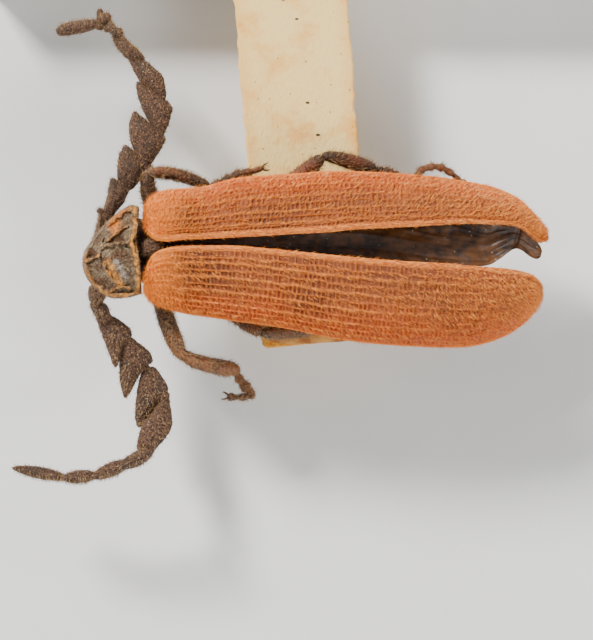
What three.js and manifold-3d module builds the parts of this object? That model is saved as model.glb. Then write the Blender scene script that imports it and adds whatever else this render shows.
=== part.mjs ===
import * as THREE from "three";
import Module from "manifold-3d";

const wasm = await Module();
wasm.setup();

// Millimetres. X runs rearwards, Y to the insect's right, Z up from the top face of the card.
const GAP = 0.03;
const FINEST = 0.004; // detail below this is dropped from cut pieces
const CARD_TOP_ABOVE_FLOOR = 2.05;
const CARD_THICK = 0.45;
const CARD_NEAR = [[-0.76, -1.98], [1.44, -1.76]];
const CARD_FAR = [[-1.73, 10.0], [0.62, 10.0]];
const CARD_CORNER = 0.14;
const BASE_X = -0.4;
const BASE_Y = 8.8;
const BASE_LONG = 12;
const BASE_DEEP = 7;
const BASE_ROUND = 0.35;
const PIN_X = -0.42;
const PIN_Y = 8.4;
const PIN_RADIUS = 0.26;
const PIN_HEAD_RADIUS = 0.5;
const PIN_HEAD_HIGH = 0.24;
const PIN_DEPTH = 1.1;
const ELYTRON_THICK = 0.46;
const ELYTRON_RIM = 0.28;
const COSTA_HIGH = 0.055;
const COSTA_WIDE = 0.022;
const MINOR_HIGH = 0.025;
const LENGTHWISE = 2; // stations of the elytra between two rows of their table
const SUTURE_DIP = 0.06;
const LEFT_FLATNESS = 1.15; // higher holds the disc flat further out
const RIGHT_FLATNESS = 0.95;
const WING_THICK = 0.35;
const PRONOTUM_THICK = 0.3;
const BORDER_HIGH = 0.05; // rolled margin of the pronotum
const BORDER_INSET = 0.05;
const BORDER_WIDE = 0.07;
const VEIN_HIGH = 0.03;
const VEIN_WIDE = 0.03; // share of the wing's width

// Elytra, base to tip: x, inner margin y, outer margin y, top z, outer margin z.
const LEFT_ELYTRON = [
  [-3.11, -0.58, -0.76, 1.34, 1.24], [-3.05, -0.36, -0.92, 1.5, 1.16], [-2.9, -0.1, -1.06, 1.64, 1.11],
  [-2.64, 0.02, -1.15, 1.71, 1.11],
  [-2.3, 0.06, -1.24, 1.75, 1.15], [-1.9, 0.07, -1.3, 1.75, 1.21], [-1.3, 0.07, -1.39, 1.75, 1.25],
  [-0.7, 0.02, -1.47, 1.71, 1.24],
  [-0.1, -0.04, -1.57, 1.66, 1.18], [0.5, -0.1, -1.7, 1.61, 1.1], [1.1, -0.16, -1.8, 1.58, 0.98],
  [1.7, -0.21, -1.86, 1.56, 0.84],
  [2.3, -0.25, -1.9, 1.53, 0.68], [2.9, -0.28, -1.92, 1.47, 0.54], [3.4, -0.33, -1.9, 1.4, 0.41],
  [3.8, -0.36, -1.81, 1.33, 0.32],
  [4.14, -0.39, -1.67, 1.23, 0.25], [4.42, -0.44, -1.49, 1.05, 0.2], [4.62, -0.51, -1.3, 0.84, 0.2],
  [4.74, -0.6, -1.14, 0.62, 0.22],
  [4.8, -0.69, -1.02, 0.48, 0.25], [4.83, -0.78, -0.92, 0.38, 0.32],
];
const RIGHT_ELYTRON = [
  [-3.11, 0.6, 0.76, 1.36, 1.26], [-3.05, 0.4, 0.93, 1.52, 1.16], [-2.92, 0.24, 1.07, 1.65, 1.08],
  [-2.66, 0.18, 1.17, 1.71, 1.03],
  [-2.3, 0.22, 1.2, 1.75, 0.96], [-1.9, 0.23, 1.24, 1.76, 0.95], [-1.3, 0.26, 1.4, 1.75, 0.94],
  [-0.7, 0.29, 1.46, 1.72, 0.94],
  [-0.1, 0.33, 1.49, 1.68, 0.95], [0.5, 0.36, 1.54, 1.64, 0.92], [1.1, 0.42, 1.54, 1.61, 0.79],
  [1.7, 0.45, 1.52, 1.58, 0.64],
  [2.3, 0.48, 1.48, 1.55, 0.46], [2.9, 0.52, 1.42, 1.5, 0.26], [3.4, 0.54, 1.34, 1.44, 0.1],
  [3.8, 0.53, 1.26, 1.38, 0.03],
  [4.14, 0.52, 1.14, 1.31, 0], [4.42, 0.45, 0.98, 1.2, 0], [4.62, 0.32, 0.79, 1.05, 0.05],
  [4.78, 0.2, 0.61, 0.86, 0.14],
  [4.88, 0.18, 0.47, 0.68, 0.25], [4.94, 0.23, 0.37, 0.54, 0.4],
];
// Shares of the turn from the inner to the outer margin at which the main ribs run.
const LEFT_COSTAE = [0.155, 0.29, 0.44, 0.6, 0.78];
const RIGHT_COSTAE = [0.125, 0.255, 0.44, 0.61, 0.78];

// Folded hind wings: x, inner y, outer y, top z.
const LEFT_WING = [
  [[-2.08, 0.02], [-2.08, -0.2], 1.18], [[-1, 0.01], [-1, -0.52], 1.18], [[0, -0.02], [0, -0.76], 1.14],
  [[1, -0.06], [1, -0.84], 1.1], [[2, -0.14], [2, -0.84], 1.06], [[3, -0.28], [3, -0.8], 1.0],
  [[3.6, -0.38], [3.6, -0.72], 0.96], [[4.1, -0.46], [4.1, -0.64], 0.92],
];
const RIGHT_WING = [
  [[-2.16, 0.04], [-2.16, 0.4], 1.2], [[-1, -0.02], [-1, 0.76], 1.2], [[0, -0.08], [0, 0.94], 1.16],
  [[1, -0.15], [1, 0.96], 1.12], [[2, -0.22], [2, 0.9], 1.08], [[3, -0.29], [3, 0.76], 1.04],
  [[3.68, -0.32], [3.68, 0.62], 1.0], [[3.98, -0.19], [3.98, 0.62], 0.98], [[4.26, 0], [4.28, 0.56], 0.94],
  [[4.44, -0.02], [4.46, 0.45], 0.88], [[4.62, -0.14], [4.66, 0.28], 0.8], [[4.76, -0.18], [4.82, 0.08],
  0.74],
  [[4.82, -0.14], [4.85, -0.02], 0.71],
];

// Pronotum: left margin, right margin, crown z, drop at the margins.
const PRONOTUM = [
  [[-4.34, -0.3], [-4.34, -0.14], 0.78, 0.02], [[-4.28, -0.52], [-4.28, 0.02], 0.88, 0.08],
  [[-4.14, -0.72], [-4.16, 0.2], 1.02, 0.18],
  [[-3.94, -0.84], [-4, 0.42], 1.18, 0.27], [[-3.72, -0.9], [-3.84, 0.59], 1.33, 0.34], [[-3.48, -0.93],
  [-3.58, 0.79], 1.46, 0.39],
  [[-3.32, -0.93], [-3.38, 0.9], 1.55, 0.43], [[-3.16, -0.9], [-3.2, 0.93], 1.62, 0.46],
];

// Keels of the pronotum: line in plan, half width, height.
const KEELS = [
  { line: [[-4.32, -0.22], [-4.12, -0.16], [-3.96, -0.14], [-3.94, 0], [-3.92, 0.08], [-3.68, 0.1],
    [-3.44, 0.12]], half: 0.06, high: 0.06 },
  { line: [[-3.96, -0.14], [-3.9, -0.28], [-3.8, -0.44], [-3.68, -0.64], [-3.56, -0.8]],
    half: 0.09, high: 0.06 },
  { line: [[-3.8, -0.44], [-3.58, -0.5], [-3.4, -0.52]], half: 0.05, high: 0.04 },
  { line: [[-3.28, 0.88], [-3.28, 0.56], [-3.31, 0.18], [-3.28, -0.16], [-3.25, -0.48], [-3.22, -0.8]],
    half: 0.08, high: 0.06 },
];
const WING_VEINS = [0.12, 0.3, 0.48, 0.68, 0.86];

// Trunk sections: centre x and y, half width, top z, bottom z.
const PROTHORAX = [
  [[-3.76, -0.04], 0.36, 0.72, 0.3], [[-3.6, -0.04], 0.58, 0.86, 0.16], [[-3.36, -0.02], 0.66, 0.98, 0.06],
  [[-3.14, 0], 0.62, 1.04, 0.1], [[-3, 0.02], 0.5, 1.0, 0.26],
];
const THORAX = [
  [[-2.97, 0.04], 0.42, 1.08, 0.4], [[-2.8, 0.04], 0.8, 1.18, 0.16], [[-2.5, 0.04], 0.96, 1.2, -0.12],
  [[-2.1, 0.02], 1.04, 1.02, -0.28], [[-1.7, 0], 1.06, 0.94, -0.36], [[-1.4, 0], 1.04, 0.9, -0.32],
  [[-1.24, -0.02], 0.98, 0.88, -0.12], [[-1.08, -0.02], 0.92, 0.86, 0.24], [[-0.76, -0.02],
  0.8, 0.82, 0.26],
];
const ABDOMEN = [
  [[-0.72, -0.02], 0.76, 0.76, 0.26], [[-0.3, -0.04], 0.82, 0.78, 0.24], [[0.3, -0.08], 0.8, 0.76, 0.22],
  [[0.9, -0.12], 0.72, 0.7, 0.2], [[1.44, -0.14], 0.58, 0.62, 0.22], [[1.84, -0.18], 0.46, 0.52, 0.04],
  [[2.16, -0.2], 0.3, 0.4, -0.02], [[2.32, -0.2], 0.14, 0.28, 0.06],
];
const HEAD = [
  [[-4.22, -0.24], 0.16, 0.42, 0.2], [[-4.14, -0.24], 0.34, 0.56, 0.08], [[-3.98, -0.24], 0.46, 0.74, 0.0],
  [[-3.8, -0.24], 0.5, 0.84, -0.02], [[-3.64, -0.22], 0.44, 0.84, 0.04], [[-3.52, -0.2], 0.3, 0.72, 0.2],
];
const MOUTH = [[-3.92, -0.24, 0.12, 0.26, 0.2], [-3.96, -0.24, -0.06, 0.22, 0.16],
  [-4, -0.24, -0.2, 0.1, 0.08]];
const EYES = { left: [-3.7, -0.672, 0.53], right: [-3.7, 0.22, 0.53] };
const EYE_RADIUS = 0.25;

// Antennae: rim of each segment's plate in plan, its joints as x, y, z.
const RIGHT_ANTENNA = {
  base: {
    stems: [[[-3.94, 0.14, 0.52, 0.16, 0.14], [-4.02, 0.34, 0.49, 0.15, 0.14],
      [-4, 0.52, 0.46, 0.13, 0.12]]],
    plates: [
      { rim: [[-4.18, 0.1], [-4.06, 0.48], [-4, 0.84], [-3.92, 0.72], [-3.9, 0.36]],
        from: [-4.06, 0.24, 0.42], to: [-3.92, 0.72, 0.42] },
      { rim: [[-3.96, 0.72], [-3.86, 1.08], [-3.8, 1.42], [-3.68, 1.4], [-3.44, 1.24], [-3.54, 0.96],
        [-3.78, 0.68]],
        from: [-3.86, 0.68, 0.4], to: [-3.54, 1.2, 0.34] },
      { rim: [[-3.66, 1.64], [-3.62, 1.92], [-3.5, 2.1], [-3.34, 1.98], [-3.16, 1.78], [-3.12, 1.58],
        [-3.3, 1.3], [-3.44, 1.22], [-3.64, 1.36]],
        from: [-3.52, 1.24, 0.34], to: [-3.2, 1.72, 0.24] },
    ],
  },
  middle: {
    plates: [
      { rim: [[-3.42, 2.52], [-3.32, 2.78], [-3.12, 2.62], [-2.76, 2.34], [-2.72, 2.2], [-2.82, 2.02],
        [-3, 1.74], [-3.12, 1.62],
        [-3.28, 1.9], [-3.4, 2.24]], from: [-3.12, 1.68, 0.22], to: [-2.84, 2.32, 0.16] },
      { rim: [[-3.26, 3.38], [-2.98, 3.24], [-2.7, 3.02], [-2.58, 2.88], [-2.58, 2.8], [-2.66, 2.52],
        [-2.76, 2.32], [-2.92, 2.4], [-3.16, 2.84],
        [-3.26, 3.16]], from: [-2.82, 2.36, 0.16], to: [-2.8, 3.04, 0.1] },
      { rim: [[-3.42, 3.84], [-3.12, 3.82], [-2.92, 3.64], [-2.76, 3.5], [-2.7, 3.18], [-2.72, 3.02],
        [-2.94, 3.16], [-3.22, 3.4]],
        from: [-2.82, 3.1, 0.1], to: [-3.2, 3.72, 0.05] },
    ],
  },
  tip: {
    plates: [
      { rim: [[-3.76, 4.22], [-3.58, 4.32], [-3.44, 4.18], [-3.28, 4.06], [-3.12, 3.84], [-3.4, 3.8],
        [-3.54, 3.92]],
        from: [-3.26, 3.82, 0.04], to: [-3.64, 4.24, 0] },
      { rim: [[-3.94, 4.52], [-3.82, 4.64], [-3.68, 4.46], [-3.56, 4.32], [-3.72, 4.22], [-3.8, 4.36]],
        from: [-3.64, 4.28, 0], to: [-3.88, 4.56, -0.03] },
      { rim: [[-4.06, 4.68], [-4, 4.75], [-3.92, 4.74], [-3.82, 4.64], [-3.92, 4.52], [-4.04, 4.6]],
        from: [-3.88, 4.58, -0.03], to: [-4.02, 4.68, -0.05] },
      { rim: [[-4.9, 4.44], [-4.78, 4.54], [-4.6, 4.6], [-4.22, 4.64], [-4.02, 4.62], [-4.02, 4.52],
        [-4.28, 4.4], [-4.6, 4.34], [-4.82, 4.32]],
        from: [-4.02, 4.62, -0.05], to: [-4.86, 4.4, -0.1] },
    ],
  },
};
const LEFT_ANTENNA = {
  base: {
    stems: [[[-4.02, -0.72, 0.49, 0.165, 0.15], [-4.12, -0.92, 0.42, 0.18, 0.16],
      [-4.14, -1.08, 0.32, 0.14, 0.13]]],
    plates: [
      { rim: [[-4.22, -1.06], [-3.92, -1.06], [-3.8, -1.3], [-3.86, -1.44], [-4.04, -1.44]],
        from: [-4.1, -1.08, 0.28], to: [-3.96, -1.36, 0.1] },
      { rim: [[-4.08, -1.34], [-3.8, -1.32], [-3.44, -1.56], [-3.4, -1.72], [-3.58, -1.96],
        [-3.66, -2.28], [-3.74, -2.32], [-3.86, -2], [-3.98, -1.68]],
        from: [-3.94, -1.34, 0.04], to: [-3.5, -1.76, -0.12] },
      { rim: [[-3.58, -1.94], [-3.42, -1.76], [-3.06, -2.04], [-2.98, -2.24], [-3.18, -2.4],
        [-3.44, -2.88], [-3.54, -2.92], [-3.62, -2.6], [-3.62, -2.14]],
        from: [-3.48, -1.84, -0.14], to: [-3.12, -2.32, -0.36] },
    ],
  },
  middle: {
    plates: [
      { rim: [[-3.18, -2.46], [-2.96, -2.36], [-2.82, -2.52], [-2.66, -2.82], [-2.92, -3.26],
        [-3.16, -3.52], [-3.26, -3.54], [-3.32, -3.32], [-3.28, -2.86]],
        from: [-3.06, -2.42, -0.38], to: [-2.86, -3.1, -0.54] },
      { rim: [[-2.7, -2.88], [-2.62, -3.18], [-2.6, -3.6], [-3.02, -4.1], [-3.26, -4], [-3.24, -3.76],
        [-3.16, -3.5], [-2.92, -3.2]],
        from: [-2.78, -3, -0.5], to: [-3.12, -3.96, -0.12] },
    ],
    blades: [
      { rim: [[[-2.96, -4], 0.12], [[-3.08, -4.14], 0.44], [[-3.64, -4.26], 0.42], [[-3.62, -4.32],
        0.26], [[-3.28, -4.26], 0.02],
        [[-3, -4.12], -0.08]], half: 0.14 },
    ],
  },
  tip: {
    blades: [
      { rim: [[[-3.4, -4.26], 0.1], [[-3.64, -4.24], 0.27], [[-4.2, -4.48], 0.31], [[-4.14, -4.56],
        0.02], [[-3.8, -4.52], -0.14],
        [[-3.48, -4.34], -0.14]], half: 0.13 },
      { rim: [[[-4.08, -4.52], 0.08], [[-4.24, -4.48], 0.22], [[-4.78, -4.52], 0.27], [[-4.76, -4.58],
        -0.02], [[-4.44, -4.62], -0.24],
        [[-4.12, -4.56], -0.1]], half: 0.12 },
      { rim: [[[-4.68, -4.56], 0.02], [[-4.88, -4.52], 0.14], [[-5.74, -4.34], 0.08], [[-5.76, -4.36],
        -0.04], [[-5.48, -4.44], -0.2],
        [[-5, -4.58], -0.26], [[-4.72, -4.58], -0.16]], half: 0.11 },
    ],
  },
};
const PLATE_HALF = 0.2;
const PLATE_EDGE = 0.06;

// Legs: each length as stations x, y, z, half width, half depth.
const LEGS = {
  fore_left: {
    femur: [[-2.84, -0.84, 0.38, 0.16, 0.18], [-2.76, -1.12, 0.4, 0.17, 0.19],
      [-2.64, -1.5, 0.44, 0.18, 0.2], [-2.48, -1.9, 0.47, 0.17, 0.19],
      [-2.4, -2.06, 0.47, 0.13, 0.15]],
    tibia: [[-2.34, -2.1, 0.44, 0.11, 0.12], [-2.12, -2.22, 0.36, 0.15, 0.15],
      [-1.76, -2.32, 0.17, 0.16, 0.16], [-1.4, -2.38, -0.06, 0.16, 0.16],
      [-1.3, -2.4, -0.12, 0.12, 0.12]],
    tarsus: [[-1.28, -2.46, -0.17, 0.08, 0.08], [-1.2, -2.62, -0.25, 0.1, 0.09],
      [-1.06, -2.78, -0.33, 0.12, 0.09], [-0.96, -2.88, -0.37, 0.11, 0.09],
      [-1.06, -2.94, -0.35, 0.09, 0.08], [-1.28, -2.96, -0.31, 0.07, 0.07],
      [-1.44, -2.94, -0.27, 0.09, 0.07]],
  },
  fore_right: {
    femur: [[-2.86, 0.72, 0.32, 0.16, 0.18], [-2.96, 0.92, 0.36, 0.17, 0.19],
      [-3.04, 1.16, 0.42, 0.17, 0.19], [-3.06, 1.44, 0.46, 0.14, 0.16]],
    tibia: [[-2.98, 1.54, 0.46, 0.1, 0.12], [-2.72, 1.56, 0.44, 0.13, 0.14],
      [-2.3, 1.46, 0.4, 0.13, 0.14], [-1.92, 1.32, 0.36, 0.11, 0.12]],
    tarsus: [[-1.8, 1.29, 0.34, 0.07, 0.08], [-1.56, 1.36, 0.32, 0.1, 0.09],
      [-1.28, 1.5, 0.32, 0.11, 0.09], [-1.04, 1.56, 0.34, 0.09, 0.08],
      [-0.76, 1.64, 0.36, 0.05, 0.05]],
  },
  mid_left: {
    femur: [[-1.9, -0.8, 0.3, 0.17, 0.2], [-1.64, -1.02, 0.48, 0.18, 0.2],
      [-1.28, -1.28, 0.76, 0.18, 0.19], [-0.98, -1.52, 0.99, 0.16, 0.17],
      [-0.84, -1.62, 1.07, 0.12, 0.12]],
    tibia: [[-0.72, -1.66, 1.05, 0.1, 0.12], [-0.48, -1.66, 0.92, 0.14, 0.15],
      [-0.04, -1.6, 0.6, 0.15, 0.17], [0.36, -1.54, 0.33, 0.15, 0.16],
      [0.48, -1.54, 0.25, 0.12, 0.12]],
    tarsus: [[0.58, -1.58, 0.2, 0.08, 0.08], [0.82, -1.62, 0.14, 0.1, 0.08],
      [1.12, -1.66, 0.1, 0.1, 0.08], [1.44, -1.68, 0.1, 0.07, 0.06],
      [1.6, -1.68, 0.1, 0.05, 0.05]],
  },
  mid_right: {
    femur: [[-1, 0.86, 0.22, 0.17, 0.2], [-0.64, 1.06, 0.34, 0.18, 0.19], [-0.2, 1.32, 0.52, 0.19, 0.19],
      [0.2, 1.64, 0.7, 0.17, 0.17],
      [0.38, 1.8, 0.76, 0.13, 0.13]],
    tibia: [[0.52, 1.88, 0.76, 0.1, 0.11], [0.76, 1.84, 0.66, 0.14, 0.14],
      [1.12, 1.74, 0.46, 0.16, 0.16], [1.42, 1.64, 0.28, 0.14, 0.14]],
    tarsus: [[1.54, 1.62, 0.22, 0.08, 0.08], [1.72, 1.58, 0.2, 0.1, 0.09],
      [1.92, 1.54, 0.18, 0.07, 0.07], [2.08, 1.48, 0.18, 0.04, 0.04]],
  },
  hind_left: {
    femur: [[-0.48, -0.72, 0.3, 0.17, 0.2], [0, -0.96, 0.36, 0.18, 0.2], [0.6, -1.26, 0.5, 0.19, 0.19],
      [1.16, -1.56, 0.6, 0.17, 0.17],
      [1.42, -1.7, 0.62, 0.12, 0.13]],
    tibia: [[1.54, -1.74, 0.6, 0.1, 0.12], [1.82, -1.72, 0.52, 0.14, 0.15],
      [2.28, -1.66, 0.28, 0.15, 0.17], [2.76, -1.6, -0.02, 0.15, 0.17],
      [2.98, -1.58, -0.15, 0.13, 0.13]],
    tarsus: [[3.1, -1.56, -0.18, 0.09, 0.09], [3.36, -1.54, -0.15, 0.12, 0.11],
      [3.68, -1.52, -0.19, 0.11, 0.11], [4, -1.5, -0.23, 0.08, 0.08]],
  },
  hind_right: {
    femur: [[-0.4, 0.76, 0.3, 0.17, 0.2], [0.2, 0.9, 0.32, 0.18, 0.2], [0.8, 1.02, 0.42, 0.18, 0.19],
      [1.32, 1.12, 0.5, 0.13, 0.14]],
    tibia: [[1.46, 1.14, 0.48, 0.1, 0.12], [1.72, 1.2, 0.44, 0.14, 0.14], [2.04, 1.32, 0.36, 0.13, 0.13],
      [2.24, 1.42, 0.3, 0.1, 0.1]],
    tarsus: [[2.32, 1.5, 0.26, 0.07, 0.07], [2.48, 1.63, 0.26, 0.08, 0.07], [2.72, 1.68, 0.22, 0.08, 0.07],
      [2.96, 1.6, 0.1, 0.08, 0.07], [3.22, 1.4, -0.02, 0.05, 0.05]],
  },
};
const GLUE = [[-1.04, 0.92], [-0.96, 1.08], [0, 1.2], [1, 1.08], [1.32, 0.72], [1.4, -0.4], [1.4, -1.76],
  [0, -1.9], [-0.72, -1.92],
  [-0.88, -1]];
const GLUE_HIGH = 0.16;
// One joint of a foot, as share of its length and swelling; a foot has five.
const FOOT_JOINTS = 5;
const FOOT_JOINT = [[0, 0.64], [0.36, 0.9], [0.72, 1.12], [0.92, 1]];

function solidFrom(points, faces) {
  let volume = 0;
  for (const [a, b, c] of faces) {
    const [p, q, r] = [points[a], points[b], points[c]];
    volume += p[0] * (q[1] * r[2] - q[2] * r[1]) - p[1] * (q[0] * r[2] - q[2] * r[0])
      + p[2] * (q[0] * r[1] - q[1] * r[0]);
  }
  const outward = volume < 0 ? faces.map(([a, b, c]) => [a, c, b]) : faces;
  return new wasm.Manifold(new wasm.Mesh({
    numProp: 3,
    vertProperties: new Float32Array(points.flat()),
    triVerts: new Uint32Array(outward.flat()),
  }));
}

const vec = (p) => new THREE.Vector3(p[0], p[1], p[2]);

function mean(points) {
  return [0, 1, 2].map((k) => points.reduce((sum, p) => sum + p[k], 0) / points.length);
}

function loft(rings) {
  const count = rings[0].length;
  const points = rings.flat();
  const faces = [];
  for (let i = 0; i + 1 < rings.length; i++) {
    for (let k = 0; k < count; k++) {
      const a = i * count + k;
      const b = i * count + ((k + 1) % count);
      faces.push([a, b, b + count], [a, b + count, a + count]);
    }
  }
  const first = points.push(mean(rings[0])) - 1;
  const last = points.push(mean(rings[rings.length - 1])) - 1;
  const end = (rings.length - 1) * count;
  for (let k = 0; k < count; k++) {
    const next = (k + 1) % count;
    faces.push([first, next, k], [last, end + k, end + next]);
  }
  return solidFrom(points, faces);
}

// A tapering length through stations, rounded at both ends; grow swells it on all sides.
function limb(stations, sides = 8, grow = 0) {
  const at = stations.map(vec);
  const path = stations.map((s, i) => {
    const along = at[Math.min(i + 1, at.length - 1)].clone().sub(at[Math.max(i - 1, 0)]).normalize();
    return { centre: at[i], along, wide: s[3] + grow, deep: s[4] + grow };
  });
  const cap = (end, sign) => [[0.5, 0.8], [0.85, 0.42]].map(([reach, size]) => ({
    ...end,
    centre: end.centre.clone().addScaledVector(end.along, sign * reach * end.deep),
    wide: end.wide * size,
    deep: end.deep * size,
  }));
  const full = [...cap(path[0], -1).reverse(), ...path, ...cap(path[path.length - 1], 1)];
  return loft(full.map(({ centre, along, wide, deep }) => {
    const side = new THREE.Vector3(0, 0, 1).cross(along).normalize();
    const up = along.clone().cross(side);
    return Array.from({ length: sides }, (_, k) => {
      const turn = (2 * Math.PI * k) / sides;
      return centre.clone()
        .addScaledVector(side, wide * Math.cos(turn))
        .addScaledVector(up, deep * Math.sin(turn))
        .toArray();
    });
  }));
}

// Stations of a foot, swollen and pinched joint by joint.
function jointed(stations) {
  const shares = Array.from({ length: FOOT_JOINTS }, (_, k) => FOOT_JOINT.map(([at, swell]) => [k + at,
    swell])).flat();
  return [...shares, [FOOT_JOINTS, 0.6]].map(([at, swell]) => {
    const [x, y, z, wide, deep] = catmull(stations, (at / FOOT_JOINTS) * (stations.length - 1));
    return [x, y, z, wide * swell, deep * swell];
  });
}

// A trunk piece lofted along X through squarish sections.
function trunk(sections, sides = 16, grow = 0) {
  const last = sections.length - 1;
  const swollen = sections.map(([[x, y], half, top, bottom], i) => [
    [x + (i === 0 ? -grow : i === last ? grow : 0), y], half + grow, top + grow, bottom - grow,
  ]);
  return loft(swollen.map(([[x, y], half, top, bottom]) => Array.from({ length: sides }, (_, k) => {
    const turn = (2 * Math.PI * k) / sides;
    const c = Math.cos(turn);
    const s = Math.sin(turn);
    return [
      x,
      y + half * Math.sign(c) * Math.abs(c) ** 0.8,
      (top + bottom) / 2 + ((top - bottom) / 2) * Math.sign(s) * Math.abs(s) ** 0.8,
    ];
  })));
}

function catmull(rows, place) {
  const i = Math.min(Math.floor(place), rows.length - 2);
  const f = place - i;
  const [a, b, c, d] = [-1, 0, 1, 2].map((k) => rows[Math.min(Math.max(i + k, 0), rows.length - 1)].flat());
  return b.map((_, k) => 0.5 * (2 * b[k] + (c[k] - a[k]) * f + (2 * a[k] - 5 * b[k] + 4 * c[k] - d[k]) * f * f
    + (3 * b[k] - a[k] - 3 * c[k] + d[k]) * f ** 3));
}

// Triangles between two polylines that run side by side and may have different counts.
function zip(faces, one, two) {
  let i = 0;
  let j = 0;
  while (i + 1 < one.length || j + 1 < two.length) {
    const stepOne = j + 1 === two.length
      || (i + 1 < one.length && (i + 1) / (one.length - 1) <= (j + 1) / (two.length - 1));
    if (stepOne) {
      faces.push([one[i], one[i + 1], two[j]]);
      i++;
    } else {
      faces.push([one[i], two[j + 1], two[j]]);
      j++;
    }
  }
}

// A closed shell between two grids of points, joined round their rims.
function shell(outer, inner) {
  const points = [...outer.flat(), ...inner.flat()];
  const faces = [];
  let start = 0;
  const [a, b] = [outer, inner].map((grid, g) => {
    const ids = grid.map((row, i) => row.map((_, j) => start + i * row.length + j));
    start += grid.length * grid[0].length;
    for (let i = 0; i + 1 < ids.length; i++) {
      for (let j = 0; j + 1 < ids[0].length; j++) {
        const [p, q, r, s] = [ids[i][j], ids[i + 1][j], ids[i + 1][j + 1], ids[i][j + 1]];
        faces.push(...(g ? [[p, r, q], [p, s, r]] : [[p, q, r], [p, r, s]]));
      }
    }
    return ids;
  });
  const column = (ids, j) => ids.map((row) => row.at(j));
  zip(faces, a[0], b[0]);
  zip(faces, a.at(-1).toReversed(), b.at(-1).toReversed());
  zip(faces, column(a, -1), column(b, -1));
  zip(faces, column(a, 0).toReversed(), column(b, 0).toReversed());
  return solidFrom(points, faces);
}

function elytron(rows, flatness, costae, grow = 0) {
  const surface = (u, t) => {
    const [x, inner, outer, top, low] = catmull(rows, u * (rows.length - 1));
    const turn = (Math.PI / 2) * t;
    const dip = SUTURE_DIP * Math.max(0, 1 - t / 0.12) ** 2;
    return vec([
      x,
      inner + (outer - inner) * Math.sin(turn),
      top - (top - low) * (1 - Math.cos(turn)) ** flatness - dip * Math.min(1, (top - low) * 2),
    ]);
  };
  const step = 1e-3;
  const normal = (u, t) => {
    const along = surface(Math.min(u + step, 1), t).sub(surface(Math.max(u - step, 0), t));
    const across = surface(u, Math.min(t + step, 1)).sub(surface(u, Math.max(t - step, 0)));
    return along.cross(across).normalize();
  };
  const sign = Math.sign(normal(0.5, 0.3).z);
  const minor = [...costae, 0.98].map((c, i) => (c + [0.02, ...costae][i]) / 2);
  const columns = [0, 0.02, 1, ...costae];
  if (!grow) columns.push(...minor, ...costae.flatMap((c) => [c - COSTA_WIDE, c + COSTA_WIDE]));
  columns.sort((p, q) => p - q);
  const finer = grow ? 1 : LENGTHWISE;
  const count = (rows.length - 1) * finer;
  const stations = Array.from({ length: count + 1 }, (_, i) => i / count);
  const outer = stations.map((u) => columns.map((t) => {
    const fade = Math.min(1, u * 12, (1 - u) * 6);
    const high = costae.includes(t) ? COSTA_HIGH : minor.includes(t) ? MINOR_HIGH : 0;
    return surface(u, t).addScaledVector(normal(u, t), sign * (high * fade + grow)).toArray();
  }));
  const under = [0, 0.12, 0.3, 0.5, 0.7, 0.88, 1];
  const inner = rows.map((_, i) => i / (rows.length - 1)).map((u) => {
    const width = surface(u, 0).distanceTo(surface(u, 1));
    return under.map((t) => {
      const body = ELYTRON_RIM + (ELYTRON_THICK - ELYTRON_RIM) * Math.sin(Math.PI * t) ** 0.5;
      const thick = Math.min(body, 0.34 * width) + grow;
      return surface(u, t).addScaledVector(normal(u, t), -sign * thick).toArray();
    });
  });
  return shell(outer, inner);
}

function slab(rows, thick, grow = 0) {
  const fine = Array.from({ length: rows.length * 2 - 1 }, (_, i) => catmull(rows, i / 2));
  const plain = [0, 0.25, 0.5, 0.75, 1];
  const veined = [0, ...WING_VEINS.flatMap((t) => [t - VEIN_WIDE, t, t + VEIN_WIDE]), 1];
  const grid = (lift, across) => fine.map(([ax, ay, bx, by, z]) => across.map((t) => {
    const fold = 0.03 * Math.sin(Math.PI * t);
    const vein = across === veined && WING_VEINS.includes(t) ? VEIN_HIGH : 0;
    const out = Math.sign(by - ay) * grow * (2 * t - 1);
    return [ax + (bx - ax) * t, ay + (by - ay) * t + out, z + fold + vein + lift];
  }));
  return shell(grid(grow, grow ? plain : veined), grid(-thick - grow, plain));
}

function plate({ rim, from, to, half = PLATE_HALF }, grow = 0) {
  const start = vec(from);
  const run = vec(to).sub(start);
  const flat = new THREE.Vector2(run.x, run.y);
  const height = ([x, y]) => {
    const part = new THREE.Vector2(x - start.x, y - start.y).dot(flat) / flat.lengthSq();
    return start.z + run.z * Math.min(1.2, Math.max(-0.2, part));
  };
  const [mx, my] = mean(rim.map((p) => [...p, 0]));
  const wider = rim.map(([x, y]) => {
    const reach = 1 + grow / Math.hypot(x - mx, y - my);
    return [mx + (x - mx) * reach, my + (y - my) * reach];
  });
  const points = wider.flatMap((p) => [1, -1].map((way) => [p[0], p[1],
    height(p) + way * (PLATE_EDGE + grow)]));
  for (const p of rim) {
    const inner = [mx + (p[0] - mx) * 0.55, my + (p[1] - my) * 0.55];
    points.push(...[1, -1].map((way) => [...inner, height(inner) + way * (half + grow)]));
  }
  return wasm.Manifold.hull(points);
}

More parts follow.
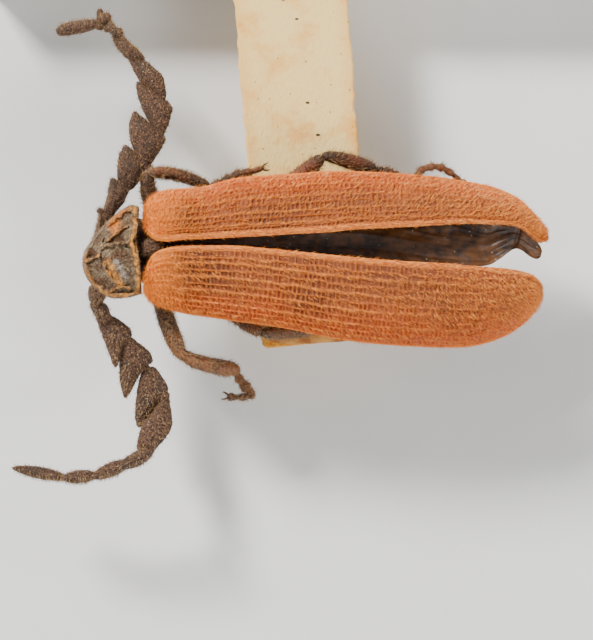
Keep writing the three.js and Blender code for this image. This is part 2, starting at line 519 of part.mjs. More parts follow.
function blade({ rim, half }, grow = 0) {
  const plain = rim.map(([[x, y], z]) => [x, y, z]);
  const middle = mean(plain);
  const points = plain.map((p) => {
    const reach = 1 + grow / Math.hypot(...p.map((value, k) => value - middle[k]));
    return p.map((value, k) => middle[k] + (value - middle[k]) * reach);
  });
  const long = vec(points.at(0)).sub(vec(points[Math.floor(points.length / 2)]));
  const side = new THREE.Vector3(long.y, -long.x, 0).normalize();
  const put = (p, reach) => vec(p).addScaledVector(side, reach).toArray();
  return wasm.Manifold.hull(points.flatMap((p) => {
    const inner = p.map((value, k) => middle[k] + (value - middle[k]) * 0.6);
    return [PLATE_EDGE + grow, -PLATE_EDGE - grow].map((reach) => put(p, reach))
      .concat([half + grow, -half - grow].map((reach) => put(inner, reach)));
  }));
}

function join(solids) {
  return largest(solids.reduce((all, s) => all.add(s)));
}

function largest(solid) {
  return solid.simplify(FINEST).decompose().reduce((best, s) => (s.volume() > best.volume() ? s : best));
}

// What is left of a solid once its neighbours, each already swollen by the gap, are taken away.
function clear(solid, ...swollen) {
  return largest(swollen.reduce((rest, s) => rest.subtract(s), solid));
}

const nodes = new Map();

function keep(name, solid) {
  nodes.set(name, solid);
  return solid;
}

const cases = [[LEFT_ELYTRON, LEFT_FLATNESS, LEFT_COSTAE], [RIGHT_ELYTRON, RIGHT_FLATNESS, RIGHT_COSTAE]];
keep("elytron_left", elytron(...cases[0]));
keep("elytron_right", elytron(...cases[1]));
const covers = cases.map((shape) => elytron(...shape, GAP));

// How near a point in plan lies to a line of points.
function nearest(line, x, y) {
  return Math.min(...line.slice(1).map(([bx, by], i) => {
    const [ax, ay] = line[i];
    const [rx, ry] = [bx - ax, by - ay];
    const share = Math.min(1, Math.max(0, ((x - ax) * rx + (y - ay) * ry) / (rx * rx + ry * ry)));
    return Math.hypot(x - ax - share * rx, y - ay - share * ry);
  }));
}

const MARGIN = [...PRONOTUM.map(([left]) => left), ...PRONOTUM.map(([, right]) => right).toReversed()];
const swell = (far, half) => Math.exp(-1.6 * (far / half) ** 2);

function raised(x, y) {
  const border = BORDER_HIGH * swell(nearest(MARGIN, x, y) - BORDER_INSET, BORDER_WIDE);
  return Math.max(border, ...KEELS.map(({ line, half, high }) => high * swell(nearest(line, x, y), half)));
}

function pronotumGrid(lift, finer, columns, relief = 0) {
  const count = (PRONOTUM.length - 1) * finer;
  const fine = Array.from({ length: count + 1 }, (_, i) => catmull(PRONOTUM, i / finer));
  return fine.map(([lx, ly, rx, ry, crown, drop]) => Array.from({ length: columns + 1 }, (_, k) => {
    const t = k / columns;
    const [x, y] = [lx + (rx - lx) * t, ly + (ry - ly) * t];
    return [x, y, crown - drop * Math.abs(2 * t - 1) ** 2.2 + relief * raised(x, y) + lift];
  }));
}
keep("pronotum", shell(pronotumGrid(0, 3, 28, 1), pronotumGrid(-PRONOTUM_THICK, 2, 10)));
const shield = shell(pronotumGrid(GAP, 2, 12), pronotumGrid(-PRONOTUM_THICK - GAP, 2, 10));

const scutellumAt = (grow) => wasm.Manifold.hull([
  [[-3, 0.2], 1.5], [[-3, -0.12], 1.5], [[-2.72, -0.02], 1.42], [[-2.72, 0.1], 1.42],
  [[-3, 0.2], 1.26], [[-3, -0.12], 1.26], [[-2.74, -0.04], 1.24], [[-2.74, 0.12], 1.24],
].map(([[x, y], z], i) => [
  x + (i % 4 < 2 ? -grow : grow), y + ([0, 3].includes(i % 4) ? grow : -grow), z + (i < 4 ? grow : -grow),
]));
keep("scutellum", clear(scutellumAt(0), ...covers, shield));

const wingRight = keep("hindwing_right", clear(slab(RIGHT_WING, WING_THICK), ...covers));
const wingSpace = slab(RIGHT_WING, WING_THICK, GAP);
const wingLeft = keep("hindwing_left", clear(slab(LEFT_WING, WING_THICK), ...covers, wingSpace));
const under = [...covers, wingSpace, slab(LEFT_WING, WING_THICK, GAP)];

const legSpace = [];
for (const [leg, lengths] of Object.entries(LEGS)) {
  const [femur, tibia] = [limb(lengths.femur, 8, GAP), limb(lengths.tibia, 8, GAP)];
  keep(`leg_${leg}_femur`, limb(lengths.femur));
  keep(`leg_${leg}_tibia`, clear(limb(lengths.tibia), femur));
  const foot = jointed(lengths.tarsus);
  keep(`leg_${leg}_tarsus`, clear(limb(foot, 6), tibia));
  legSpace.push(femur, tibia, limb(lengths.tarsus, 6, GAP));
}

const card = keep("card_strip", (() => {
  const outline = new THREE.Shape();
  const [nearLeft, nearRight] = CARD_NEAR;
  const [farLeft, farRight] = CARD_FAR;
  outline.moveTo(nearRight[0] - CARD_CORNER / 2, nearRight[1]);
  outline.lineTo(farRight[0] + (nearRight[0] - farRight[0]) * 0.02, farRight[1]);
  outline.lineTo(farLeft[0], farLeft[1]);
  outline.lineTo(nearLeft[0] - 0.01, nearLeft[1] + CARD_CORNER);
  outline.quadraticCurveTo(nearLeft[0], nearLeft[1], nearLeft[0] + CARD_CORNER, nearLeft[1]);
  const body = new THREE.ExtrudeGeometry(outline, { depth: CARD_THICK, bevelEnabled: false,
    curveSegments: 5 });
  body.translate(0, 0, -CARD_THICK);
  const hole = wasm.Manifold.cylinder(3, PIN_RADIUS + GAP, PIN_RADIUS + GAP, 24, true).translate([PIN_X,
    PIN_Y, 0]);
  return largest(fromGeometry(body).subtract(hole));
})());

function fromGeometry(geometry) {
  const position = (geometry.index ? geometry.toNonIndexed() : geometry).getAttribute("position");
  const points = [];
  const faces = [];
  const seen = new Map();
  for (let i = 0; i < position.count; i += 3) {
    faces.push([0, 1, 2].map((k) => {
      const p = [position.getX(i + k), position.getY(i + k), position.getZ(i + k)];
      const key = p.map((v) => v.toFixed(4)).join();
      if (!seen.has(key)) seen.set(key, points.push(p) - 1);
      return seen.get(key);
    }));
  }
  return solidFrom(points, faces);
}

const cardSpace = wasm.Manifold.cube([3, 12, CARD_THICK + GAP], false).translate([-1.4, -3, -CARD_THICK]);
keep("thorax", clear(trunk(THORAX), ...under, scutellumAt(GAP), cardSpace, ...legSpace));
keep("abdomen", clear(trunk(ABDOMEN), ...under, trunk(THORAX, 16, GAP), ...legSpace));

const eyeAt = (centre, radius) => wasm.Manifold.sphere(radius, 16).translate(centre);
for (const [side, centre] of Object.entries(EYES)) keep(`eye_${side}`, clear(eyeAt(centre, EYE_RADIUS),
  shield));
const eyeSpace = Object.values(EYES).map((centre) => eyeAt(centre, EYE_RADIUS + GAP));
keep("prothorax", clear(trunk(PROTHORAX), shield, trunk(THORAX, 16, GAP),
  ...eyeSpace, ...legSpace.slice(0, 6)));

const scapeSpace = [];
for (const [side, antenna] of Object.entries({ left: LEFT_ANTENNA, right: RIGHT_ANTENNA })) {
  let before = [shield, ...eyeSpace];
  for (const [length, { stems = [], plates = [], blades = [] }] of Object.entries(antenna)) {
    const pieces = (grow) => [
      ...stems.map((s) => limb(s, 8, grow)),
      ...plates.map((p) => plate(p, grow)),
      ...blades.map((b) => blade(b, grow)),
    ];
    keep(`antenna_${side}_${length}`, clear(join(pieces(0)), ...before));
    before = pieces(GAP);
    if (length === "base") scapeSpace.push(...before);
  }
}
keep("head", clear(
  join([trunk(HEAD), limb(MOUTH)]), shield, trunk(PROTHORAX, 16, GAP),
    ...eyeSpace, ...scapeSpace, ...legSpace.slice(0, 6),
));

keep("glue", (() => {
  const outline = new THREE.Shape(GLUE.map(([x, y]) => new THREE.Vector2(x, y)));
  const layer = new THREE.ExtrudeGeometry(outline, { depth: GLUE_HIGH, bevelEnabled: false });
  layer.translate(0, 0, GAP);
  return clear(fromGeometry(layer), ...legSpace);
})());

keep("stand_base", (() => {
  const half = [BASE_LONG / 2, BASE_DEEP / 2];
  const top = -CARD_THICK - GAP;
  const low = -CARD_TOP_ABOVE_FLOOR;
  const corners = [];
  for (const sx of [-1, 1]) {
    for (const sy of [-1, 1]) {
      for (let k = 0; k <= 4; k++) {
        const turn = (Math.PI / 8) * k;
        const x = BASE_X + sx * (half[0] - BASE_ROUND + BASE_ROUND * Math.cos(turn));
        const y = BASE_Y + sy * (half[1] - BASE_ROUND + BASE_ROUND * Math.sin(turn));
        corners.push([x, y, low], [x, y, top]);
      }
    }
  }
  const socket = wasm.Manifold.cylinder(PIN_DEPTH, PIN_RADIUS + GAP, PIN_RADIUS + GAP, 24)
    .translate([PIN_X, PIN_Y, top - PIN_DEPTH + 0.3]);
  return wasm.Manifold.hull(corners).subtract(socket);
})());

keep("stand_pin", (() => {
  const low = -CARD_THICK - GAP - PIN_DEPTH + 0.3 + GAP;
  const profile = [[0, low], [PIN_RADIUS, low], [PIN_RADIUS, GAP], [PIN_HEAD_RADIUS, GAP],
    [PIN_HEAD_RADIUS, GAP + PIN_HEAD_HIGH * 0.6], [PIN_HEAD_RADIUS * 0.7, GAP + PIN_HEAD_HIGH * 0.9],
    [0, GAP + PIN_HEAD_HIGH]].map(([r, z]) => new THREE.Vector2(r, z));
  const lathe = new THREE.LatheGeometry(profile, 24);
  lathe.rotateX(Math.PI / 2);
  lathe.translate(PIN_X, PIN_Y, 0);
  return fromGeometry(lathe);
})());

const group = new THREE.Group();
for (const [name, solid] of nodes) {
  const placed = solid.translate([-BASE_X, -BASE_Y, CARD_TOP_ABOVE_FLOOR]).getMesh();
  const geometry = new THREE.BufferGeometry();
  const position = new Float32Array(placed.numVert * 3);
  for (let i = 0; i < placed.numVert; i++) {
    position.set(placed.vertProperties.subarray(i * placed.numProp, i * placed.numProp + 3), i * 3);
  }
  geometry.setAttribute("position", new THREE.BufferAttribute(position, 3));
  geometry.setIndex(new THREE.BufferAttribute(placed.triVerts, 1));
  const mesh = new THREE.Mesh(geometry);
  mesh.name = name;
  group.add(mesh);
}

export default group;
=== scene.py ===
# %% [markdown]
# # A net-winged beetle on its card
# The specimen is about 9 mm long, so every length below is in millimetres and a piece
# is shrunk to metres only when it is finished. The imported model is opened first: its
# solids say where each piece goes, and each piece made here stands for some of them.

# %% Open the frame
import math

import bmesh
import bpy
import numpy as np
from mathutils import Matrix, Vector


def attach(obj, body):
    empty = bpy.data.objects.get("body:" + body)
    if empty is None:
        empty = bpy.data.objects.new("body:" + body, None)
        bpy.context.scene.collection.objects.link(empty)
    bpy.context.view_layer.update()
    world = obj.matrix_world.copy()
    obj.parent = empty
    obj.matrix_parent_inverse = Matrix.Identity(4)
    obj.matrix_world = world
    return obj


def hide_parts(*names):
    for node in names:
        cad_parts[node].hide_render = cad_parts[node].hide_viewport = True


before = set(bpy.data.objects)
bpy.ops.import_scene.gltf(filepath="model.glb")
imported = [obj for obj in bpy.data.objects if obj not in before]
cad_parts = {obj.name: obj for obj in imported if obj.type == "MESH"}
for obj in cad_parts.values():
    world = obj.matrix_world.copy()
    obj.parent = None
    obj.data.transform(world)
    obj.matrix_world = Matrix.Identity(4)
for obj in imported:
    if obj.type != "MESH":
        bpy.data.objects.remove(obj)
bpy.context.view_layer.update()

MM = 0.001
CARD_ORIGIN = Vector((0.4, -8.8, 2.05))  # top of the card under the beetle, in the part's frame

# %% [markdown]
# ## Shader sums
# A finish is a small sum of patterns: a base colour, darker in the hollows, lighter on the
# ribs, broken by noise. Wrapping a socket lets such a sum be written as plain Python, and
# one method adds any other node, so a finish reads as a recipe and not as wiring.

# %% A socket that sums act on
class Wire:
    def __init__(self, finish, socket):
        self.finish = finish
        self.socket = socket

    def sum(self, operation, *values):
        return self.finish.node("ShaderNodeMath", {"operation": operation}, dict(enumerate(values)))

    def __add__(self, other): return self.sum("ADD", self, other)
    def __radd__(self, other): return self.sum("ADD", other, self)
    def __sub__(self, other): return self.sum("SUBTRACT", self, other)
    def __rsub__(self, other): return self.sum("SUBTRACT", other, self)
    def __mul__(self, other): return self.sum("MULTIPLY", self, other)
    def __rmul__(self, other): return self.sum("MULTIPLY", other, self)
    def __truediv__(self, other): return self.sum("DIVIDE", self, other)
    def __pow__(self, other): return self.sum("POWER", self, other)
    def at_most(self, other): return self.sum("MINIMUM", self, other)
    def at_least(self, other): return self.sum("MAXIMUM", self, other)
    def limited(self): return self.at_least(0.0).at_most(1.0)

    def ramp(self, low, high, start=0.0, end=1.0):
        return self.finish.node(
            "ShaderNodeMapRange", {"interpolation_type": "SMOOTHSTEP"},
            {0: self, 1: low, 2: high, 3: start, 4: end},
        )


# %% A finish and its nodes
class Finish:
    def __init__(self, name, **constants):
        self.material = bpy.data.materials.new(name)
        self.material.use_nodes = True
        self.nodes = self.material.node_tree.nodes
        self.links = self.material.node_tree.links
        self.shader = self.nodes["Principled BSDF"]
        for socket, value in constants.items():
            self.shader.inputs[socket.replace("_", " ")].default_value = value

    def node(self, kind, settings=None, inputs=None, out=0):
        made = self.nodes.new(kind)
        for key, value in (settings or {}).items():
            setattr(made, key, value)
        for key, value in (inputs or {}).items():
            if isinstance(value, Wire):
                self.links.new(value.socket, made.inputs[key])
            else:
                made.inputs[key].default_value = value
        return Wire(self, made.outputs[out])

    def place(self):
        """Object coordinates in millimetres."""
        metres = self.node("ShaderNodeTexCoord", out="Object")
        return self.node(
            "ShaderNodeVectorMath", {"operation": "SCALE"}, {0: metres, "Scale": 1 / MM})

    def stretched(self, vector, x, y, z):
        return self.node(
            "ShaderNodeVectorMath", {"operation": "MULTIPLY"}, {0: vector, 1: (x, y, z)})

    def noise(self, vector, scale, detail=3.0, rough=0.55):
        return self.node("ShaderNodeTexNoise", {}, {
            "Vector": vector, "Scale": scale, "Detail": detail, "Roughness": rough})

    def cells(self, vector, scale, feature="F1", spread=1.0):
        return self.node("ShaderNodeTexVoronoi", {"feature": feature}, {
            "Vector": vector, "Scale": scale, "Randomness": spread})

    def held(self, name):
        """A number that the piece's mesh holds at each point."""
        return self.node("ShaderNodeAttribute", {"attribute_name": name}, out="Fac")

    def mix(self, one, two, share):
        return self.node("ShaderNodeMix", {"data_type": "RGBA"}, {0: share, 6: one, 7: two}, out=2)

    def bump(self, height, distance, strength=1.0):
        return self.node("ShaderNodeBump", {}, {
            "Height": height, "Distance": distance * MM, "Strength": strength})

    def wear(self, **links):
        for socket, wire in links.items():
            self.links.new(wire.socket, self.shader.inputs[socket.replace("_", " ")])
        return self.material


def tone(*screen):
    """A screen colour, 0 to 255, as the light that a shader works in."""
    light = [v / 3294.6 if v <= 10.3 else ((v / 255 + 0.055) / 1.055) ** 2.4 for v in screen]
    return (*light, 1.0)


# %% [markdown]
# ## The studio
# A museum macro photograph is taken straight down through a very long lens, so that
# near and far parts keep the same scale. A 500 mm lens 18 cm above a 13 mm wide view
# does the same here. The floor is pale paper, and two large soft lights and a pale
# surround leave only light shadows.

# %% Camera, floor and lights
VIEW_HIGH = 12.8
FOCUS = Vector((-0.07, -1.4, 0.9)) + CARD_ORIGIN
LENS = 500.0
SENSOR = 36.0
LIGHTS = (  # name, place in metres, width in metres, power in watts
    ("key", (-0.2, 0.24, 0.24), 0.09, 3.0),
    ("fill", (0.22, -0.2, 0.2), 0.2, 1.0),
)


def studio():
    scene = bpy.context.scene
    camera = bpy.data.cameras.new("camera")
    camera.sensor_fit = "VERTICAL"
    camera.sensor_height = SENSOR
    camera.lens = LENS
    camera.clip_start = 0.01
    camera.clip_end = 10.0
    stand = bpy.data.objects.new("camera", camera)
    away = VIEW_HIGH * LENS / SENSOR
    stand.location = (FOCUS + Vector((0, 0, away))) * MM
    scene.collection.objects.link(stand)
    scene.camera = stand
    for name, spot, size, power in LIGHTS:
        light = bpy.data.lights.new(name, "AREA")
        light.size = size
        light.energy = power
        lamp = bpy.data.objects.new(name, light)
        lamp.location = spot
        lamp.rotation_euler = (-Vector(spot)).to_track_quat("-Z", "Y").to_euler()
        scene.collection.objects.link(lamp)
    scene.world = bpy.data.worlds.new("surround")
    scene.world.use_nodes = True
    sky = scene.world.node_tree.nodes["Background"]
    sky.inputs["Color"].default_value = (0.85, 0.88, 0.92, 1)
    sky.inputs["Strength"].default_value = 0.6


studio()
print("camera looks down from", round(VIEW_HIGH * LENS / SENSOR), "mm")

# %% The pale floor
def alone(piece=None):
    """Selects nothing, or one piece, so that the next operator acts only on that."""
    if bpy.context.object and bpy.context.object.mode != "OBJECT":
        bpy.ops.object.mode_set(mode="OBJECT")
    bpy.ops.object.select_all(action="DESELECT")
    if piece:
        piece.select_set(True)
        bpy.context.view_layer.objects.active = piece


alone()
bpy.ops.mesh.primitive_plane_add(size=1.0, location=(0, 0, 0))
floor = bpy.context.object
floor.name = "floor"
paper = Finish("pale_paper", Roughness=0.9)
speckle = paper.noise(paper.place(), 0.4)
pale = paper.mix(tone(226, 224, 219), tone(236, 235, 231), speckle)
floor.data.materials.append(paper.wear(Base_Color=pale))

# %% [markdown]
# ## Finishing a piece
# Pieces are modelled at a thousand times life size, because Blender's tools merge points
# that lie closer than a tenth of a millimetre. When a piece is done its mesh, and not its
# object, is shrunk and carried to its place on the card, so that the object stays at the
# origin and a pattern on object coordinates keeps still.

# %% Settle a piece
made = {}


def closed(piece):
    """Turns a piece's faces outward by the sign of its volume, and tells of any open edge."""
    shape = bmesh.new()
    shape.from_mesh(piece.data)
    if shape.calc_volume(signed=True) < 0:
        bmesh.ops.reverse_faces(shape, faces=shape.faces)
        shape.to_mesh(piece.data)
    gaps = sum(1 for edge in shape.edges if len(edge.link_faces) != 2)
    if gaps:
        print(piece.name, "has", gaps, "open edges")
    shape.free()


def opened():
    """Puts the piece in hand in edit mode, with all of it selected."""
    bpy.ops.object.mode_set(mode="EDIT")
    bpy.ops.mesh.select_all(action="SELECT")


def walled(piece, drop):
    """Draws a whole sheet straight down, which closes it into a thin plate."""
    alone(piece)
    opened()
    bpy.ops.mesh.extrude_region_move(TRANSFORM_OT_translate={"value": (0, 0, -drop)})
    bpy.ops.mesh.select_all(action="SELECT")
    bpy.ops.mesh.normals_make_consistent(inside=False)
    bpy.ops.object.mode_set(mode="OBJECT")


def settle(piece, name, nodes, material, sharp=50):
    """Shrinks a finished piece into its place, names and dresses it, and hides the parts that it
    stands for.
    """
    alone()
    piece.name = name
    piece.data.name = name
    to_card = Matrix.Translation(CARD_ORIGIN * MM) @ Matrix.Scale(MM, 4)
    piece.data.transform(to_card @ piece.matrix_world)
    piece.matrix_world = Matrix.Identity(4)
    closed(piece)
    alone(piece)
    bpy.ops.object.shade_smooth_by_angle(angle=math.radians(sharp))
    piece.data.materials.clear()
    piece.data.materials.append(material)
    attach(piece, "root")
    if nodes:
        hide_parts(*nodes)
    made[name] = piece
    low = [round(min(v.co[k] for v in piece.data.vertices) / MM, 2) for k in range(3)]
    high = [round(max(v.co[k] for v in piece.data.vertices) / MM, 2) for k in range(3)]
    print(name, len(piece.data.polygons), "faces, from", low, "to", high)
    return piece


def apply_all(piece):
    """Applies the piece's modifiers in their order."""
    alone(piece)
    for modifier in list(piece.modifiers):
        bpy.ops.object.modifier_apply(modifier=modifier.name)


def smoothed(rows, place):
    """Values between the rows of a table, on a curve through them."""
    last = len(rows) - 1
    i = min(int(place), last - 1)
    f = place - i
    a, b, c, d = (np.array(rows[min(max(i + k, 0), last)], float) for k in (-1, 0, 1, 2))
    square = 2 * a - 5 * b + 4 * c - d
    cube = 3 * b - a - 3 * c + d
    return 0.5 * (2 * b + (c - a) * f + square * f * f + cube * f ** 3)


def read(things, what, width=3):
    """A property of all points or faces of a mesh, as rows of numbers."""
    values = np.empty(len(things) * width)
    things.foreach_get(what, values)
    return values.reshape(-1, width) if width > 1 else values


def flat_grid(along, across):
    """A square grid to bend, and each point's share of the way along it and across it."""
    alone()
    bpy.ops.mesh.primitive_grid_add(x_subdivisions=along, y_subdivisions=across, size=1.0)
    sheet = bpy.context.object
    flat = read(sheet.data.vertices, "co")
    return sheet, flat[:, 0] + 0.5, flat[:, 1] + 0.5


def at_grid(rows, along, u):
    """The columns of a table at each point of a grid, on curves through its rows."""
    values = np.array([smoothed(rows, k / along * (len(rows) - 1)) for k in range(along + 1)])
    return values[np.round(u * along).astype(int)].T


def bent_to(sheet, points):
    """Moves all points of a sheet at once."""
    sheet.data.vertices.foreach_set("co", points.ravel())
    sheet.data.update()


def limited(share):
    """Holds a share between none and all."""
    return np.clip(share, 0, 1)


def hold(piece, name, values):
    """Keeps a number for each point of the piece's mesh, for its finish to read."""
    kept = piece.data.attributes.new(name, "FLOAT", "POINT")
    kept.data.foreach_set("value", np.asarray(values, np.float32))


# %% [markdown]
# ## Wing cases
# A net-winged beetle's wing cases are soft leathery covers, ribbed along their length, with
# weaker ribs between and rows of small cells closed by cross bars. Each is a sheet under a
# tenth of a millimetre thick that arches over the body. It could be sculpted, but its net is
# too regular for that. So a fine grid is laid over the arch that the tables give, the ribs
# and bars are raised on it by formula, and Solidify gives the sheet its thickness. The grid
# keeps its own map, so the cells follow the curve.

# %% The tables of the wing cases
# x, inner margin y, outer margin y, top z, outer margin z
LEFT_CASE = [
    (-3.11, -0.58, -0.76, 1.34, 1.24),
    (-3.05, -0.36, -0.92, 1.5, 1.16),
    (-2.9, -0.1, -1.06, 1.64, 1.11),
    (-2.64, 0.02, -1.15, 1.71, 1.11),
    (-2.3, 0.06, -1.24, 1.75, 1.15),
    (-1.9, 0.07, -1.3, 1.75, 1.21),
    (-1.3, 0.07, -1.39, 1.75, 1.25),
    (-0.7, 0.02, -1.47, 1.71, 1.24),
    (-0.1, -0.04, -1.57, 1.66, 1.18),
    (0.5, -0.1, -1.7, 1.61, 1.1),
    (1.1, -0.16, -1.8, 1.58, 0.98),
    (1.7, -0.21, -1.86, 1.56, 0.84),
    (2.3, -0.25, -1.9, 1.53, 0.68),
    (2.9, -0.28, -1.92, 1.47, 0.54),
    (3.4, -0.33, -1.9, 1.4, 0.41),
    (3.8, -0.36, -1.81, 1.33, 0.32),
    (4.14, -0.39, -1.67, 1.23, 0.25),
    (4.42, -0.44, -1.49, 1.05, 0.2),
    (4.62, -0.51, -1.3, 0.84, 0.2),
    (4.74, -0.6, -1.14, 0.62, 0.22),
    (4.8, -0.69, -1.02, 0.48, 0.25),
    (4.83, -0.78, -0.92, 0.38, 0.32),
]
RIGHT_CASE = [
    (-3.11, 0.6, 0.76, 1.36, 1.26),
    (-3.05, 0.4, 0.93, 1.52, 1.16),
    (-2.92, 0.24, 1.07, 1.65, 1.08),
    (-2.66, 0.18, 1.17, 1.71, 1.03),
    (-2.3, 0.22, 1.2, 1.75, 0.96),
    (-1.9, 0.23, 1.24, 1.76, 0.95),
    (-1.3, 0.26, 1.4, 1.75, 0.94),
    (-0.7, 0.29, 1.46, 1.72, 0.94),
    (-0.1, 0.33, 1.49, 1.68, 0.95),
    (0.5, 0.36, 1.54, 1.64, 0.92),
    (1.1, 0.42, 1.54, 1.61, 0.79),
    (1.7, 0.45, 1.52, 1.58, 0.64),
    (2.3, 0.48, 1.48, 1.55, 0.46),
    (2.9, 0.52, 1.42, 1.5, 0.26),
    (3.4, 0.54, 1.34, 1.44, 0.1),
    (3.8, 0.53, 1.26, 1.38, 0.03),
    (4.14, 0.52, 1.14, 1.31, 0),
    (4.42, 0.45, 0.98, 1.2, 0),
    (4.62, 0.32, 0.79, 1.05, 0.05),
    (4.78, 0.2, 0.61, 0.86, 0.14),
    (4.88, 0.18, 0.47, 0.68, 0.25),
    (4.94, 0.23, 0.37, 0.54, 0.4),
]
LEFT_FLATNESS = 1.15
RIGHT_FLATNESS = 0.95
LEFT_RIBS = (0.155, 0.29, 0.44, 0.6, 0.78)
RIGHT_RIBS = (0.125, 0.255, 0.44, 0.61, 0.78)
LEFT_SEAM = 0.05
RIGHT_SEAM = 0.072
BAR_PITCH = 0.088
CASE_THICK = 0.09


# %% Ribs, bars and sunken cells
RIB_HALF, WEAK_RIB_HALF = 0.021, 0.015  # as shares of the way across the case
RIB_HIGH, WEAK_RIB_HIGH, BAR_HIGH, MARGIN_HIGH = 0.042, 0.03, 0.034, 0.035
CELL_DEEP = 0.022
OUTER_MARGIN = 0.965


def ridge(distance, half):
    """A raised line with a sharp crest."""
    return limited(1 - np.abs(distance) / half) ** 1.5


def cross_bars(x, t, ribs, rng):
    """Bars between the ribs: each row starts at its own step, and some bars are faint."""
    row = np.searchsorted(sorted(ribs), t)
    shift = rng.uniform(0, 1, 14)[row]
    wander = 0.4 * np.sin(x * 3.1 + row) + 0.25 * np.sin(x * 7.7 + 2 * row)
    beat = x / BAR_PITCH + shift + wander
    fullness = rng.uniform(0.6, 1.0, 997)[(np.floor(beat).astype(int) * 31 + row * 7) % 997]
    return ridge((beat % 1) - 0.5, 0.32) * fullness


def net_on(x, u, t, ribs, seam, seed):
    """The height of the net over the smooth sheet, and what each point holds of it."""
    rng = np.random.default_rng(seed)
    sway = np.interp(x, np.linspace(-4, 6, 60), rng.normal(0, 0.006, 60))
    bounds = (seam, *ribs, 0.97)
    weak_ribs = [(a + b) / 2 for a, b in zip(bounds, bounds[1:])]
    rear = limited((x - 0.4) / 3.4)
    rope = 0.75 + 0.25 * np.sin(x * 31 + 5 * np.sin(x * 3.7 + t * 9))
    strong = np.max([ridge(t - r - sway, RIB_HALF) for r in ribs], 0) * rope * (1 - 0.6 * rear)
    weak = np.max([ridge(t - r + sway, WEAK_RIB_HALF) for r in weak_ribs], 0)
    bars = cross_bars(x, t, [*ribs, *weak_ribs], rng)
    narrowing = seam * (1.0 - 0.2 * u)
    edge = limited(np.maximum(narrowing - t, t - OUTER_MARGIN) / 0.02)
    shoulder = limited(1 - (x + 2.95) / 0.75)
    plain = limited(1 - 0.8 * shoulder - 0.6 * limited((x - 3.4) / 1.3))
    worn = 1 - 0.4 * rear
    raised = np.maximum.reduce([
        RIB_HIGH * strong, WEAK_RIB_HIGH * weak * worn, BAR_HIGH * bars * worn, MARGIN_HIGH * edge])
    sunk = CELL_DEEP * plain * (1 - np.maximum.reduce([strong, weak, bars, edge]))
    fade = limited(np.minimum(u, 1 - u) * 14)
    relief = fade * (raised - sunk) + rng.normal(0, 0.0012, len(x))
    rib = np.maximum(strong, edge)
    return relief, {
        "net": np.maximum.reduce([strong, 0.8 * weak, 0.75 * bars, edge, 1 - plain, 0.35 * rear]),
        "rib": rib,
        "seam": limited((seam * 1.05 - t) / 0.02) * (0.6 + 0.4 * rear),
        "shoulder": shoulder,
        "rear": limited((x - 0.6) / 2.5) * (1 - 0.7 * rib),
        "across": t,
    }, (strong, np.maximum(weak * 0.6, edge))


# %% Bend a grid over the body
def wing_case(name, rows, flatness, ribs, seam, node, material, seed):
    """Makes one wing case, and gives its smooth form and hair shares back for the down."""
    along, across = ((440, 84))
    sheet, u, t = flat_grid(along, across)
    sheet.data.uv_layers[0].name = "UVMap"
    u = np.round(u * along) / along
    x, inner, outer, top, low = at_grid(rows, along, u)
    turn = math.pi / 2 * t
    dip = 0.06 * limited(1 - t / 0.12) ** 2 * np.minimum(1, (top - low) * 2)
    arch = top - (top - low) * (1 - np.cos(turn)) ** flatness - dip
    points = np.stack([x, inner + (outer - inner) * np.sin(turn), arch], 1)
    relief, shares, hair_shares = net_on(x, u, t, ribs, seam, seed)
    bent_to(sheet, points)
    normals = read(sheet.data.vertices, "normal")
    if normals[:, 2].mean() < 0:
        alone(sheet)
        opened()
        bpy.ops.mesh.flip_normals()
        bpy.ops.object.mode_set(mode="OBJECT")
        normals = -normals
    sheet.data.vertices.foreach_set("co", (points + normals * relief[:, None]).ravel())
    for share, values in shares.items():
        hold(sheet, share, values)
    wall = sheet.modifiers.new("thickness", "SOLIDIFY")
    wall.thickness = CASE_THICK
    wall.offset = -1
    apply_all(sheet)
    settle(sheet, name, [node], material, sharp=80)
    return points, normals, u, t, *hair_shares


# %% [markdown]
# The skin of the wing cases is terracotta. It is browner in the cells, where the dark body
# shows through, paler on ribs and along the seam, and more orange at the shoulders. The
# colour follows the numbers that the mesh holds for its net, broken by fine noise.

